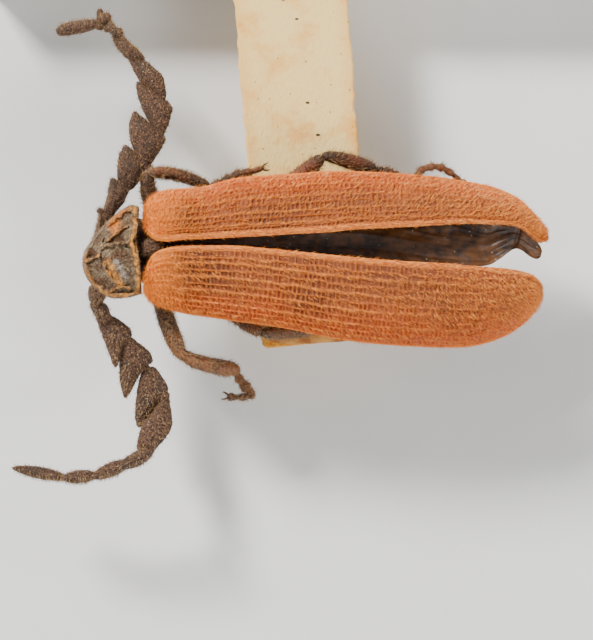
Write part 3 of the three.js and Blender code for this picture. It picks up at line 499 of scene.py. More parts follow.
# %% Finish of the wing cases
def terracotta():
    skin = Finish("terracotta_skin", Roughness=0.58, Specular_IOR_Level=0.35)
    place = skin.place()
    net = skin.held("net")
    broad = skin.noise(place, 0.8, 4.0)
    fine = skin.noise(skin.stretched(place, 1.0, 1.6, 1.6), 22.0, 4.0, 0.7)
    outer = (skin.held("across") + (broad - 0.5) * 0.5).ramp(0.3, 0.75)
    dull = skin.mix(tone(98, 46, 18), tone(136, 68, 26), broad.ramp(0.35, 0.65))
    cell = skin.mix(dull, tone(172, 70, 12), outer)
    web = skin.mix(tone(206, 102, 28), tone(248, 136, 40), fine.ramp(0.35, 0.7))
    web = skin.mix(web, tone(248, 118, 20), outer)
    body = skin.mix(cell, web, (net * 1.25 - 0.12 + (fine - 0.5) * 0.7).limited())
    streaks = skin.noise(skin.stretched(place, 2.5, 14.0, 14.0), 3.0, 3.0)
    grains = skin.cells(skin.stretched(place, 0.7, 1.0, 1.0), 24.0).ramp(0.1, 0.5, 0.0, 1.0)
    body = skin.mix(body, tone(118, 48, 14), (1.0 - grains) * 0.5)
    pale = skin.mix(body, tone(246, 150, 64), skin.held("rib") * streaks.ramp(0.35, 0.65) * 0.75)
    banded = skin.mix(tone(176, 78, 24), tone(250, 156, 68), streaks.ramp(0.42, 0.64))
    pale = skin.mix(pale, banded, skin.held("seam") * 0.8)
    warm = skin.mix(pale, tone(244, 138, 28), skin.held("shoulder") * 0.6)
    dots = skin.cells(skin.stretched(place, 1.0, 1.3, 1.0), 11.0).ramp(0.18, 0.4, 1.0, 0.0)
    warm = skin.mix(warm, tone(92, 36, 12), dots * skin.held("rear") * 0.85)
    stain = skin.noise(place, 2.4, 5.0, 0.7).ramp(0.62, 0.82) * 0.35
    stained = skin.mix(warm, tone(110, 54, 22), stain)
    tiny = skin.cells(place, 6.0).ramp(0.05, 0.1, 1.0, 0.0) * skin.noise(place, 2.0).ramp(0.5, 0.6)
    height = net * 0.4 + fine + streaks * 0.6 + grains * 0.5
    return skin.wear(
        Base_Color=skin.mix(stained, tone(250, 214, 160), tiny * 0.7),
        Roughness=fine.ramp(0.2, 0.8, 0.42, 0.68),
        Normal=skin.bump(height, 0.02, 0.8),
    )


case_skin = terracotta()
left_skin = wing_case("elytron_left_cover", LEFT_CASE, LEFT_FLATNESS, LEFT_RIBS, LEFT_SEAM,
                      "elytron_left", case_skin, 3)
right_skin = wing_case("elytron_right_cover", RIGHT_CASE, RIGHT_FLATNESS, RIGHT_RIBS, RIGHT_SEAM,
                       "elytron_right", case_skin, 8)

# %% [markdown]
# ## Pronotum
# The shield over the front of the thorax is a rounded plate with thick rolled margins and a
# few strong keels that fence off sunken cells, with the narrow lozenge cell in the middle.
# A grid is laid between the two margins of the table and arched, and the keels are raised
# along lines drawn on it, because their places matter more than their sections. What the
# mesh holds as "keel" also steers the ochre colour.

# %% Lines of the keels
# left margin, right margin, crown z, drop at the margins
PRONOTUM = [
    ((-4.354, -0.32), (-4.354, -0.16), 0.78, 0.02),
    ((-4.29, -0.52), (-4.3, 0.01), 0.88, 0.08),
    ((-4.16, -0.71), (-4.17, 0.19), 1.02, 0.18),
    ((-3.96, -0.88), (-4.01, 0.4), 1.18, 0.27),
    ((-3.74, -0.966), (-3.84, 0.58), 1.33, 0.34),
    ((-3.51, -0.96), (-3.59, 0.78), 1.46, 0.39),
    ((-3.34, -0.93), (-3.38, 0.894), 1.55, 0.43),
    ((-3.16, -0.88), (-3.216, 0.86), 1.62, 0.46),
]
# line, half width, height, share of ochre
KEELS = [
    ([(-4.308, -0.234), (-4.21, -0.192), (-4.1, -0.156), (-4.02, -0.12)], 0.035, 0.07, 0.75),
    (
        [(-4.02, -0.12), (-3.99, -0.04), (-3.94, 0.1), (-3.956, 0.24), (-4.02, 0.32)],
        0.03, 0.035, 0.2,
    ),
    ([(-3.89, 0.086), (-3.74, 0.108), (-3.58, 0.12), (-3.43, 0.14)], 0.028, 0.075, 0.5),
    ([(-3.94, 0.1), (-3.774, 0.25), (-3.58, 0.39), (-3.46, 0.46)], 0.03, 0.035, 0.6),
    (
        [
            (-3.914, -0.22), (-3.886, -0.374), (-3.816, -0.5), (-3.732, -0.6), (-3.648, -0.684),
            (-3.522, -0.74),
        ],
        0.03, 0.12, 1.0,
    ),
    ([(-3.83, -0.24), (-3.76, -0.38), (-3.67, -0.52), (-3.57, -0.66)], 0.105, 0.075, 0.85),
    (
        [(-3.802, -0.86), (-3.74, -0.8), (-3.662, -0.76), (-3.52, -0.73), (-3.4, -0.78)],
        0.03, 0.06, 0.9,
    ),
]
REAR_BAND = (
    [
        (-3.29, 0.84), (-3.29, 0.56), (-3.32, 0.34), (-3.348, 0.18), (-3.32, 0), (-3.276, -0.2),
        (-3.244, -0.44), (-3.22, -0.76),
    ],
    0.055, 0.085, 1.0,
)
# centre, half sizes, depth
HOLLOWS = [
    ((-3.76, -0.02), 0.16, 0.12, 0.05),
    ((-3.48, -0.24), 0.17, 0.26, 0.06),
    ((-4.12, -0.42), 0.16, 0.17, 0.05),
    ((-3.46, 0.64), 0.13, 0.16, 0.05),
    ((-3.68, 0.19), 0.18, 0.05, 0.05),
    ((-3.62, -0.86), 0.13, 0.05, 0.05),
    ((-3.36, -0.68), 0.1, 0.1, 0.06),
]
BORDER_INSET = 0.05
BORDER_HALF = 0.06
BORDER_HIGH = 0.06
SHIELD_CELL_DEEP = 0.07
PRONOTUM_WALL = 0.16
PATCH = [(-3.76, 0.48), (-3.66, 0.52), (-3.7, 0.4)]
PATCH_TAIL = [(-3.76, 0.59), (-3.52, 0.8)]
# line along which a painted sheen, a pale grey reflection, is painted into one cell's colour
PAINTED_SHEEN_LINE = [(-3.66, -0.24), (-3.58, -0.36), (-3.49, -0.56)]


def from_line(points, line):
    """How far each point lies from a line through a few corners."""
    best = np.full(len(points), 9.0)
    for a, b in zip(np.array(line)[:-1], np.array(line)[1:]):
        run = b - a
        part = np.clip(((points - a) @ run) / (run @ run), 0, 1)
        best = np.minimum(best, np.hypot(*(points - a - part[:, None] * run).T))
    return best


def bump_at(distance, half):
    """A raised line or spot with soft flanks."""
    return np.exp(-((distance / half) ** 2) * 1.6)


# %% Keels and sunken cells of the shield
def keels_on(here):
    """Each point's height over the plate, and its share of the ochre."""
    x, y = here.T
    waver = 0.012 * np.sin(x * 31 + 3 * np.sin(y * 11)) + 0.01 * np.sin(y * 37 + x * 9)
    heights, tints = [], []
    for line, half, high, ochre_share in KEELS + [REAR_BAND]:
        near = bump_at(from_line(here, line) + waver, half)
        heights.append(near * high)
        tints.append(near * ochre_share)
    rim = [left for left, *_ in PRONOTUM] + [right for _, right, *_ in PRONOTUM[::-1]]
    edge = from_line(here, rim)
    front_right = limited((y + 0.05) / 0.2) * limited((-3.75 - x) / 0.25)
    roll = bump_at(edge - BORDER_INSET + waver, BORDER_HALF) * (1 - 0.6 * front_right)
    border = roll * BORDER_HIGH - limited(1 - edge / 0.04) ** 2 * 0.04
    left_border = limited((-y - 0.35) / 0.3)
    roll_tint = roll * (0.6 + 0.3 * left_border) * (1 - 0.7 * front_right)
    keel = limited(np.maximum(np.max(tints, 0), roll_tint))
    keel *= 0.8 + 0.2 * np.sin(x * 17 + 2 * np.sin(y * 13)) * np.sin(y * 15)
    return np.maximum.reduce(heights + [border]), keel


def cells_on(here, relief, keel):
    """How far each point lies below the plate in a cell, with the cell's wrinkles."""
    x, y = here.T
    hollow = np.zeros(len(here))
    for (cx, cy), half_x, half_y, deep in HOLLOWS:
        dish = np.exp(-((x - cx) / half_x) ** 2 - ((y - cy) / half_y) ** 2)
        hollow = np.maximum(hollow, deep * dish)
    flat_part = limited(0.6 - limited(relief / 0.05))
    grains = 0.014 * np.sin(x * 67 + 4 * np.sin(y * 31)) * np.sin(y * 61 - x * 23)
    wrinkle = 0.018 * np.sin(x * 23 + 3 * np.sin(y * 9)) * np.sin(y * 19 + x * 7)
    return (wrinkle + grains) * (1 - keel) - flat_part * (SHIELD_CELL_DEEP + hollow)


# %% Arch and raise the shield
def shield_piece(material):
    along, across = ((110, 130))
    sheet, u, t = flat_grid(along, across)
    rows = [(*left, *right, crown, drop) for left, right, crown, drop in PRONOTUM]
    left_x, left_y, right_x, right_y, crown, drop = at_grid(rows, along, u)
    x = right_x + (left_x - right_x) * t
    y = right_y + (left_y - right_y) * t
    x -= 0.07 * bump_at(y - 0.2, 0.42) * limited((u - 0.72) / 0.28)
    here = np.stack([x, y], 1)
    relief, keel = keels_on(here)
    arch = crown - drop * np.abs(1 - 2 * t) ** 2.2
    rough = np.random.default_rng(5).normal(0, 0.002, len(x))
    bent_to(sheet, np.stack([x, y, arch + relief + cells_on(here, relief, keel) + rough], 1))
    hold(sheet, "keel", keel)
    hold(sheet, "patch", np.maximum(
        bump_at(from_line(here, PATCH), 0.11), 0.75 * bump_at(from_line(here, PATCH_TAIL), 0.07)))
    # share of the painted sheen, a reflection painted into the colour
    hold(sheet, "painted_sheen", bump_at(from_line(here, PAINTED_SHEEN_LINE), 0.07))
    walled(sheet, PRONOTUM_WALL)
    return settle(sheet, "pronotum_shield", ["pronotum"], material, sharp=70)


# %% Finish of the shield
def ochre():
    skin = Finish("ochre_keels_on_dark_cells", Roughness=0.5, Specular_IOR_Level=0.4)
    place = skin.place()
    fine = skin.noise(place, 24.0, 5.0, 0.75)
    broad = skin.noise(place, 4.5, 3.0)
    brown = skin.mix(tone(140, 92, 52), tone(178, 150, 114), broad.ramp(0.4, 0.6))
    dark = skin.mix(tone(30, 16, 9), brown, (fine * 2.4 + broad * 0.8 - 1.2).limited())
    pale_grain = (fine.ramp(0.56, 0.66) * broad.ramp(0.35, 0.55)) * 0.7
    dark = skin.mix(dark, tone(206, 186, 156), pale_grain)
    patch = skin.mix(dark, tone(232, 132, 36), skin.held("patch") * fine.ramp(0.3, 0.55) * 0.9)
    # painted sheen: a pale grey reflection painted on one cell of the shield
    with_painted_sheen = skin.mix(patch, tone(206, 196, 180), skin.held("painted_sheen") * fine.ramp(0.35, 0.6) * 0.7)
    worn = (fine * 0.6 + broad * 0.5).ramp(0.38, 0.64)
    raised = skin.mix(tone(128, 58, 20), tone(250, 168, 62), worn)
    keel = skin.held("keel") * 1.35 + (fine - 0.5) * 0.9 + (broad - 0.5) * 0.6 - 0.28
    return skin.wear(
        Base_Color=skin.mix(with_painted_sheen, raised, keel.limited()),
        Roughness=fine.ramp(0.25, 0.75, 0.38, 0.66),
        Normal=skin.bump(fine + broad * 0.4, 0.045, 1.0),
    )


shield = shield_piece(ochre())

# %% [markdown]
# ## Tools for lengths
# Legs, mouthparts and the stalks between the feelers' joints are all lengths with rounded
# ends. Each starts as a circle that is drawn out ring by ring along a straight line, where
# its swellings are easy to set. A Curve modifier then lays it along its own path.

# %% Draw out a length and lay it on its path
def disc(sides):
    """A filled circle that faces along x, in edit mode with all of it selected."""
    alone()
    bpy.ops.mesh.primitive_circle_add(
        vertices=sides, radius=1.0, fill_type="NGON", rotation=(0, math.pi / 2, 0))
    bpy.ops.object.transform_apply(location=True, rotation=True, scale=True)
    opened()
    return bpy.context.object


def drawn_out(rings, sides):
    """rings: place along x, half width, half depth."""
    place, wide, deep = rings[0]
    piece = disc(sides)
    bpy.ops.transform.translate(value=(place, 0, 0))
    bpy.ops.transform.resize(value=(1, wide, deep), center_override=(place, 0, 0))
    for (x0, w0, d0), (x1, w1, d1) in zip(rings, rings[1:]):
        bpy.ops.mesh.extrude_region_move(TRANSFORM_OT_translate={"value": (x1 - x0, 0, 0)})
        bpy.ops.transform.resize(value=(1, w1 / w0, d1 / d0), center_override=(x1, 0, 0))
    bpy.ops.object.mode_set(mode="OBJECT")
    return piece


def laid_on(piece, points):
    """Bends a straight length along a path."""
    path = bpy.data.curves.new("path", "CURVE")
    path.dimensions = "3D"
    path.twist_mode = "Z_UP"
    spline = path.splines.new("POLY")
    spline.points.add(len(points) - 1)
    for spot, point in zip(spline.points, points):
        spot.co = (*point, 1)
    guide = bpy.data.objects.new("path", path)
    bpy.context.scene.collection.objects.link(guide)
    bend = piece.modifiers.new("path", "CURVE")
    bend.object = guide
    bend.deform_axis = "POS_X"
    apply_all(piece)
    bpy.data.objects.remove(guide)
    bpy.data.curves.remove(path)
    return piece


def limb(stations, sides=10, knots=None, plump=1.04):
    """knots: shape of the length as (share of the way, swelling), or none for the table's own."""
    fine = 6
    rows = np.array([smoothed(stations, k / fine) for k in range((len(stations) - 1) * fine + 1)])
    steps = np.linalg.norm(np.diff(rows[:, :3], axis=0), axis=1)
    reach = np.concatenate([[0], np.cumsum(steps)])
    if knots is None:
        knots = [(k / 7, 1.0) for k in range(8)]
    rings = []
    for share, swell in knots:
        at = share * reach[-1]
        wide = np.interp(at, reach, rows[:, 3]) * swell * plump
        deep = np.interp(at, reach, rows[:, 4]) * swell * plump
        rings.append((at, wide, deep))
    (x0, w0, d0), (x1, w1, d1) = rings[0], rings[-1]
    first = [(x0 - 0.75 * d0, w0 * 0.45, d0 * 0.45), (x0 - 0.45 * d0, w0 * 0.8, d0 * 0.8)]
    last = [(x1 + 0.45 * d1, w1 * 0.8, d1 * 0.8), (x1 + 0.75 * d1, w1 * 0.45, d1 * 0.45)]
    piece = laid_on(drawn_out(first + rings + last, sides), rows[:, :3])
    return piece, rows

# %% [markdown]
# ## Feelers
# Each feeler is a row of flat, saw-toothed joints, as thin as card at their rims and
# swollen in the middle. A joint starts as a filled circle whose points are put on the
# joint's outline. It is drawn up and down in shrinking rings, so that both faces swell, is
# tilted between its two joints, and is rounded with Subdivision. Joints that stand on edge
# are made flat in the same way and then turned, so that all have the same section.

# %% Outlines of the joints
# rim in plan, height z at one end and at the other
RIGHT_FEELER = {
    "base": [
        (
            [(-4.14, 0.18), (-4.04, 0.56), (-3.92, 0.52), (-3.88, 0.28), (-3.98, 0.08)],
            (-4.04, 0.14), 0.52, (-4, 0.52), 0.46,
        ),
        (
            [(-4.18, 0.1), (-4.06, 0.48), (-4, 0.84), (-3.92, 0.72), (-3.9, 0.36)],
            (-4.06, 0.24), 0.42, (-3.92, 0.72), 0.42,
        ),
        (
            [
                (-3.96, 0.72), (-3.86, 1.08), (-3.8, 1.42), (-3.68, 1.4), (-3.44, 1.24),
                (-3.54, 0.96), (-3.78, 0.68),
            ],
            (-3.86, 0.68), 0.4, (-3.54, 1.2), 0.34,
        ),
        (
            [
                (-3.66, 1.64), (-3.62, 1.92), (-3.5, 2.1), (-3.34, 1.98), (-3.16, 1.78),
                (-3.12, 1.58), (-3.3, 1.3), (-3.44, 1.22), (-3.64, 1.36),
            ],
            (-3.52, 1.24), 0.34, (-3.2, 1.72), 0.24,
        ),
    ],
    "middle": [
        (
            [
                (-3.42, 2.52), (-3.32, 2.78), (-3.12, 2.62), (-2.76, 2.34), (-2.72, 2.2),
                (-2.82, 2.02), (-3, 1.74), (-3.12, 1.62), (-3.28, 1.9), (-3.4, 2.24),
            ],
            (-3.12, 1.68), 0.22, (-2.84, 2.32), 0.16,
        ),
        (
            [
                (-3.26, 3.38), (-2.98, 3.24), (-2.7, 3.02), (-2.58, 2.88), (-2.58, 2.8),
                (-2.66, 2.52), (-2.76, 2.32), (-2.92, 2.4), (-3.16, 2.84), (-3.26, 3.16),
            ],
            (-2.82, 2.36), 0.16, (-2.8, 3.04), 0.1,
        ),
        (
            [
                (-3.42, 3.84), (-3.12, 3.82), (-2.92, 3.64), (-2.76, 3.5), (-2.7, 3.18),
                (-2.72, 3.02), (-2.94, 3.16), (-3.22, 3.4),
            ],
            (-2.82, 3.1), 0.1, (-3.2, 3.72), 0.05,
        ),
    ],
    "tip": [
        (
            [
                (-3.76, 4.22), (-3.58, 4.32), (-3.44, 4.18), (-3.28, 4.06), (-3.12, 3.84),
                (-3.4, 3.8), (-3.54, 3.92),
            ],
            (-3.26, 3.82), 0.04, (-3.64, 4.24), 0.0,
        ),
        (
            [
                (-3.94, 4.52), (-3.82, 4.64), (-3.68, 4.46), (-3.56, 4.32), (-3.72, 4.22),
                (-3.8, 4.36),
            ],
            (-3.64, 4.28), 0.0, (-3.88, 4.56), -0.03,
        ),
        (
            [(-4.06, 4.68), (-4, 4.75), (-3.92, 4.74), (-3.82, 4.64), (-3.92, 4.52), (-4.04, 4.6)],
            (-3.88, 4.58), -0.03, (-4.02, 4.68), -0.05,
        ),
        (
            [
                (-4.9, 4.44), (-4.78, 4.54), (-4.6, 4.6), (-4.22, 4.64), (-4.02, 4.62),
                (-4.02, 4.52), (-4.28, 4.4), (-4.6, 4.34), (-4.82, 4.32),
            ],
            (-4.02, 4.62), -0.05, (-4.86, 4.4), -0.1,
        ),
    ],
}
LEFT_FEELER = {
    "base": [
        (
            [
                (-4.22, -0.72), (-4.24, -0.96), (-4.14, -1.08), (-3.96, -1.06), (-3.88, -0.84),
                (-3.96, -0.7),
            ],
            (-4.02, -0.72), 0.5, (-4.1, -1.06), 0.32,
        ),
        (
            [(-4.22, -1.06), (-3.92, -1.06), (-3.8, -1.3), (-3.86, -1.44), (-4.04, -1.44)],
            (-4.1, -1.08), 0.28, (-3.96, -1.36), 0.1,
        ),
        (
            [
                (-4.08, -1.34), (-3.8, -1.32), (-3.44, -1.56), (-3.4, -1.72), (-3.58, -1.96),
                (-3.66, -2.28), (-3.74, -2.32), (-3.86, -2), (-3.98, -1.68),
            ],
            (-3.94, -1.34), 0.04, (-3.5, -1.76), -0.12,
        ),
        (
            [
                (-3.58, -1.94), (-3.42, -1.76), (-3.06, -2.04), (-2.98, -2.24), (-3.18, -2.4),
                (-3.44, -2.88), (-3.54, -2.92), (-3.62, -2.6), (-3.62, -2.14),
            ],
            (-3.48, -1.84), -0.14, (-3.12, -2.32), -0.36,
        ),
    ],
    "middle": [
        (
            [
                (-3.18, -2.46), (-2.96, -2.36), (-2.82, -2.52), (-2.66, -2.82), (-2.92, -3.26),
                (-3.16, -3.52), (-3.26, -3.54), (-3.32, -3.32), (-3.28, -2.86),
            ],
            (-3.06, -2.42), -0.38, (-2.86, -3.1), -0.54,
        ),
        (
            [
                (-2.7, -2.88), (-2.62, -3.18), (-2.6, -3.6), (-3.02, -4.1), (-3.26, -4),
                (-3.24, -3.76), (-3.16, -3.5), (-2.92, -3.2),
            ],
            (-2.78, -3), -0.5, (-3.12, -3.96), -0.12,
        ),
    ],
    "tip": [],
}
# joints of the left feeler that stand on edge: rim as (plan, z) and half thickness
LEFT_EDGEWISE = {
    "middle": [
        (
            [
                ((-2.96, -4), 0.12),
                ((-3.08, -4.14), 0.44),
                ((-3.64, -4.26), 0.42),
                ((-3.62, -4.32), 0.26),
                ((-3.28, -4.26), 0.02),
                ((-3, -4.12), -0.08),
            ],
            0.15,
        ),
    ],
    "tip": [
        (
            [
                ((-3.4, -4.26), 0.1),
                ((-3.64, -4.24), 0.27),
                ((-4.2, -4.48), 0.31),
                ((-4.14, -4.56), 0.02),
                ((-3.8, -4.52), -0.14),
                ((-3.48, -4.34), -0.14),
            ],
            0.14,
        ),
        (
            [
                ((-4.08, -4.52), 0.08),
                ((-4.24, -4.48), 0.22),
                ((-4.78, -4.52), 0.27),
                ((-4.76, -4.58), -0.02),
                ((-4.44, -4.62), -0.24),
                ((-4.12, -4.56), -0.1),
            ],
            0.13,
        ),
        (
            [
                ((-4.68, -4.56), 0.02),
                ((-4.88, -4.52), 0.14),
                ((-5.74, -4.34), 0.08),
                ((-5.76, -4.36), -0.04),
                ((-5.48, -4.44), -0.2),
                ((-5, -4.58), -0.26),
                ((-4.72, -4.58), -0.16),
            ],
            0.12,
        ),
    ],
}
JOINT_GROWTH = 1.07  # Subdivision draws a rim in by about as much
JOINT_RINGS = ((0.95, 0.045), (0.8, 0.1), (0.5, 0.16), (0.2, 0.19))  # share of rim, height
ROUNDNESS = 0.6  # of a curve through a rim's corners, where 1 is the roundest


# %% Swell one joint
def outline_through(rim, steps=3):
    """A closed curve through the corners of a rim, a little rounder than the rim itself."""
    corners = np.array(rim, float)
    count = len(corners)
    curve = []
    for i in range(count):
        a, b, c, d = (corners[(i + k) % count] for k in (-1, 0, 1, 2))
        leave, arrive = ROUNDNESS * (c - a), ROUNDNESS * (d - b)
        for k in range(steps):
            f = k / steps
            square = 6 * (c - b) - 2 * leave - arrive
            cube = 4 * (b - c) + leave + arrive
            curve.append(0.5 * (2 * b + leave * f + square * f * f + cube * f ** 3))
    return np.array(curve)


def plate(outline, z):
    """A flat face with the outline's corners, in edit mode with all of it selected."""
    alone()
    bpy.ops.mesh.primitive_circle_add(vertices=len(outline), radius=1.0, fill_type="NGON")
    piece = bpy.context.object
    for vertex, (x, y) in zip(piece.data.vertices, outline):
        vertex.co = (x, y, z)
    opened()
    return piece


def swollen_joint(rim, scale=1.0):
    curve = outline_through(rim)
    middle = curve.mean(0)
    joint = plate(middle + (curve - middle) * JOINT_GROWTH, 0)
    centre = (middle[0], middle[1], 0)
    for way in (1, -1):
        if way < 0:
            bpy.ops.mesh.select_all(action="DESELECT")
            bpy.ops.object.mode_set(mode="OBJECT")
            for face in joint.data.polygons:
                furthest = max(abs(joint.data.vertices[i].co.z) for i in face.vertices)
                if furthest < 1e-6:
                    face.select = True
            bpy.ops.object.mode_set(mode="EDIT")
        share, high = 1.0, 0.0
        for next_share, next_high in JOINT_RINGS:
            rise = (next_high * scale - high) * way
            bpy.ops.mesh.extrude_region_move(TRANSFORM_OT_translate={"value": (0, 0, rise)})
            shrink = next_share / share
            bpy.ops.transform.resize(value=(shrink, shrink, 1), center_override=centre)
            share, high = next_share, next_high * scale
    bpy.ops.object.mode_set(mode="OBJECT")
    return joint


def tilt(joint, start, low, end, high):
    """Lifts a flat joint so that it runs from one height at its root to another at its end."""
    run = Vector(end) - Vector(start)
    for vertex in joint.data.vertices:
        part = (Vector(vertex.co[:2]) - Vector(start)).dot(run) / run.length_squared
        vertex.co.z += low + (high - low) * min(1.2, max(-0.2, part))


def on_edge(rim, half):
    """A joint seen edgewise: swollen flat, then turned so that its plane holds its rim."""
    points = np.array([(*plan, z) for plan, z in rim])
    middle = points.mean(0)
    long = points[0] - points[len(points) // 2]
    long /= np.linalg.norm(long)
    side = np.array([long[1], -long[0], 0.0])
    side /= np.linalg.norm(side)
    up = np.cross(side, long)
    plan = np.stack([(points - middle) @ long, (points - middle) @ up], 1)
    before, after = np.roll(plan, 1, 0), np.roll(plan, -1, 0)
    plan = np.stack([plan + (before - plan) * 0.12, plan + (after - plan) * 0.12], 1).reshape(-1, 2)
    joint = swollen_joint(plan, half / JOINT_RINGS[-1][1])
    for vertex in joint.data.vertices:
        vertex.co = middle + long * vertex.co.x + up * vertex.co.y + side * vertex.co.z
    return joint


# %% Round and roughen
def outward(piece):
    """Merges doubled points and turns all faces outward."""
    alone(piece)
    opened()
    bpy.ops.mesh.remove_doubles(threshold=0.0005)
    bpy.ops.mesh.normals_make_consistent(inside=False)
    bpy.ops.object.mode_set(mode="OBJECT")


def grain(piece, size, strength):
    """Roughens a piece with a live modifier."""
    texture = bpy.data.textures.new("grain", "CLOUDS")
    texture.noise_scale = size
    texture.noise_depth = 2
    rough = piece.modifiers.new("grain", "DISPLACE")
    rough.texture = texture
    rough.strength = strength
    rough.mid_level = 0.5


def joined(pieces):
    """Makes one mesh of several pieces."""
    alone()
    for piece in pieces:
        piece.select_set(True)
    bpy.context.view_layer.objects.active = pieces[0]
    if len(pieces) > 1:
        bpy.ops.object.join()
    return bpy.context.object


def rounded(piece, levels=2, size=0.09, strength=0.03):
    """Subdivides a closed piece to a smooth form, and roughens it."""
    outward(piece)
    smooth = piece.modifiers.new("round", "SUBSURF")
    smooth.levels = levels
    if strength:
        grain(piece, size, strength)
    apply_all(piece)
    return piece


def stalk(last, first):
    """The narrow root by which a joint stands in the joint before it."""
    run = first - last
    ahead = run / max(np.linalg.norm(run), 1e-6)
    path = [
        [*(last - ahead * 0.12), 0.07, 0.08],
        [*((last + first) / 2), 0.075, 0.085],
        [*(first + ahead * 0.12), 0.1, 0.1],
    ]
    return rounded(limb(path, sides=8)[0], levels=1, size=0.06, strength=0.01)


# %% Finish of the feelers
def feeler_skin():
    skin = Finish("dusty_brown_feeler", Roughness=0.7, Specular_IOR_Level=0.32)
    place = skin.place()
    fine = skin.noise(place, 30.0, 5.0, 0.75)
    broad = skin.noise(place, 3.0, 3.0)
    body = skin.mix(tone(34, 21, 15), tone(122, 88, 66), fine.ramp(0.4, 0.6))
    body = skin.mix(body, tone(62, 52, 44), broad.ramp(0.5, 0.66) * 0.6)
    # pale specks: partly the feeler's own pale grains, partly painted glints that stand in for
    # highlights
    specks = skin.cells(place, 15.0).ramp(0.14, 0.3, 1.0, 0.0)
    specks = specks * skin.noise(place, 9.0).ramp(0.42, 0.56)
    specked_with_glints = skin.mix(body, tone(216, 172, 128), specks * 0.75)
    dots = skin.cells(place, 6.0).ramp(0.04, 0.09, 1.0, 0.0)
    dots = dots * skin.noise(place, 3.0).ramp(0.5, 0.6)
    return skin.wear(
        Base_Color=skin.mix(specked_with_glints, tone(244, 214, 160), dots * 0.8),
        Roughness=fine.ramp(0.2, 0.8, 0.5, 0.85),
        Normal=skin.bump(fine + specks * 0.5, 0.04, 1.0),
    )


# %% Build both feelers
feeler_finish = feeler_skin()
for side, feeler, edgewise in (("left", LEFT_FEELER, LEFT_EDGEWISE), ("right", RIGHT_FEELER, {})):
    last = None
    for length, rims in feeler.items():
        joints = []
        for rim, start, low, end, high in rims:
            joint = swollen_joint(rim)
            tilt(joint, start, low, end, high)
            joints.append(rounded(joint))
            first = np.array([*start, low])
            if last is not None:
                joints.append(stalk(last, first))
            last = np.array([*end, high])
        for rim, half in edgewise.get(length, []):
            joints.append(rounded(on_edge(rim, half)))
        settle(joined(joints), f"feeler_{side}_{length}",
               [f"antenna_{side}_{length}"], feeler_finish, 180)

# %% [markdown]
# ## Legs
# A leg has a stout thigh, a shin that widens to its end, and a foot of five small lobed
# joints with two claws. Each length is drawn out and laid along the leg's own path, and
# Subdivision rounds it. The rings of a foot swell and pinch joint by joint, because five
# separate joints would show seams that the real foot doesn't have.

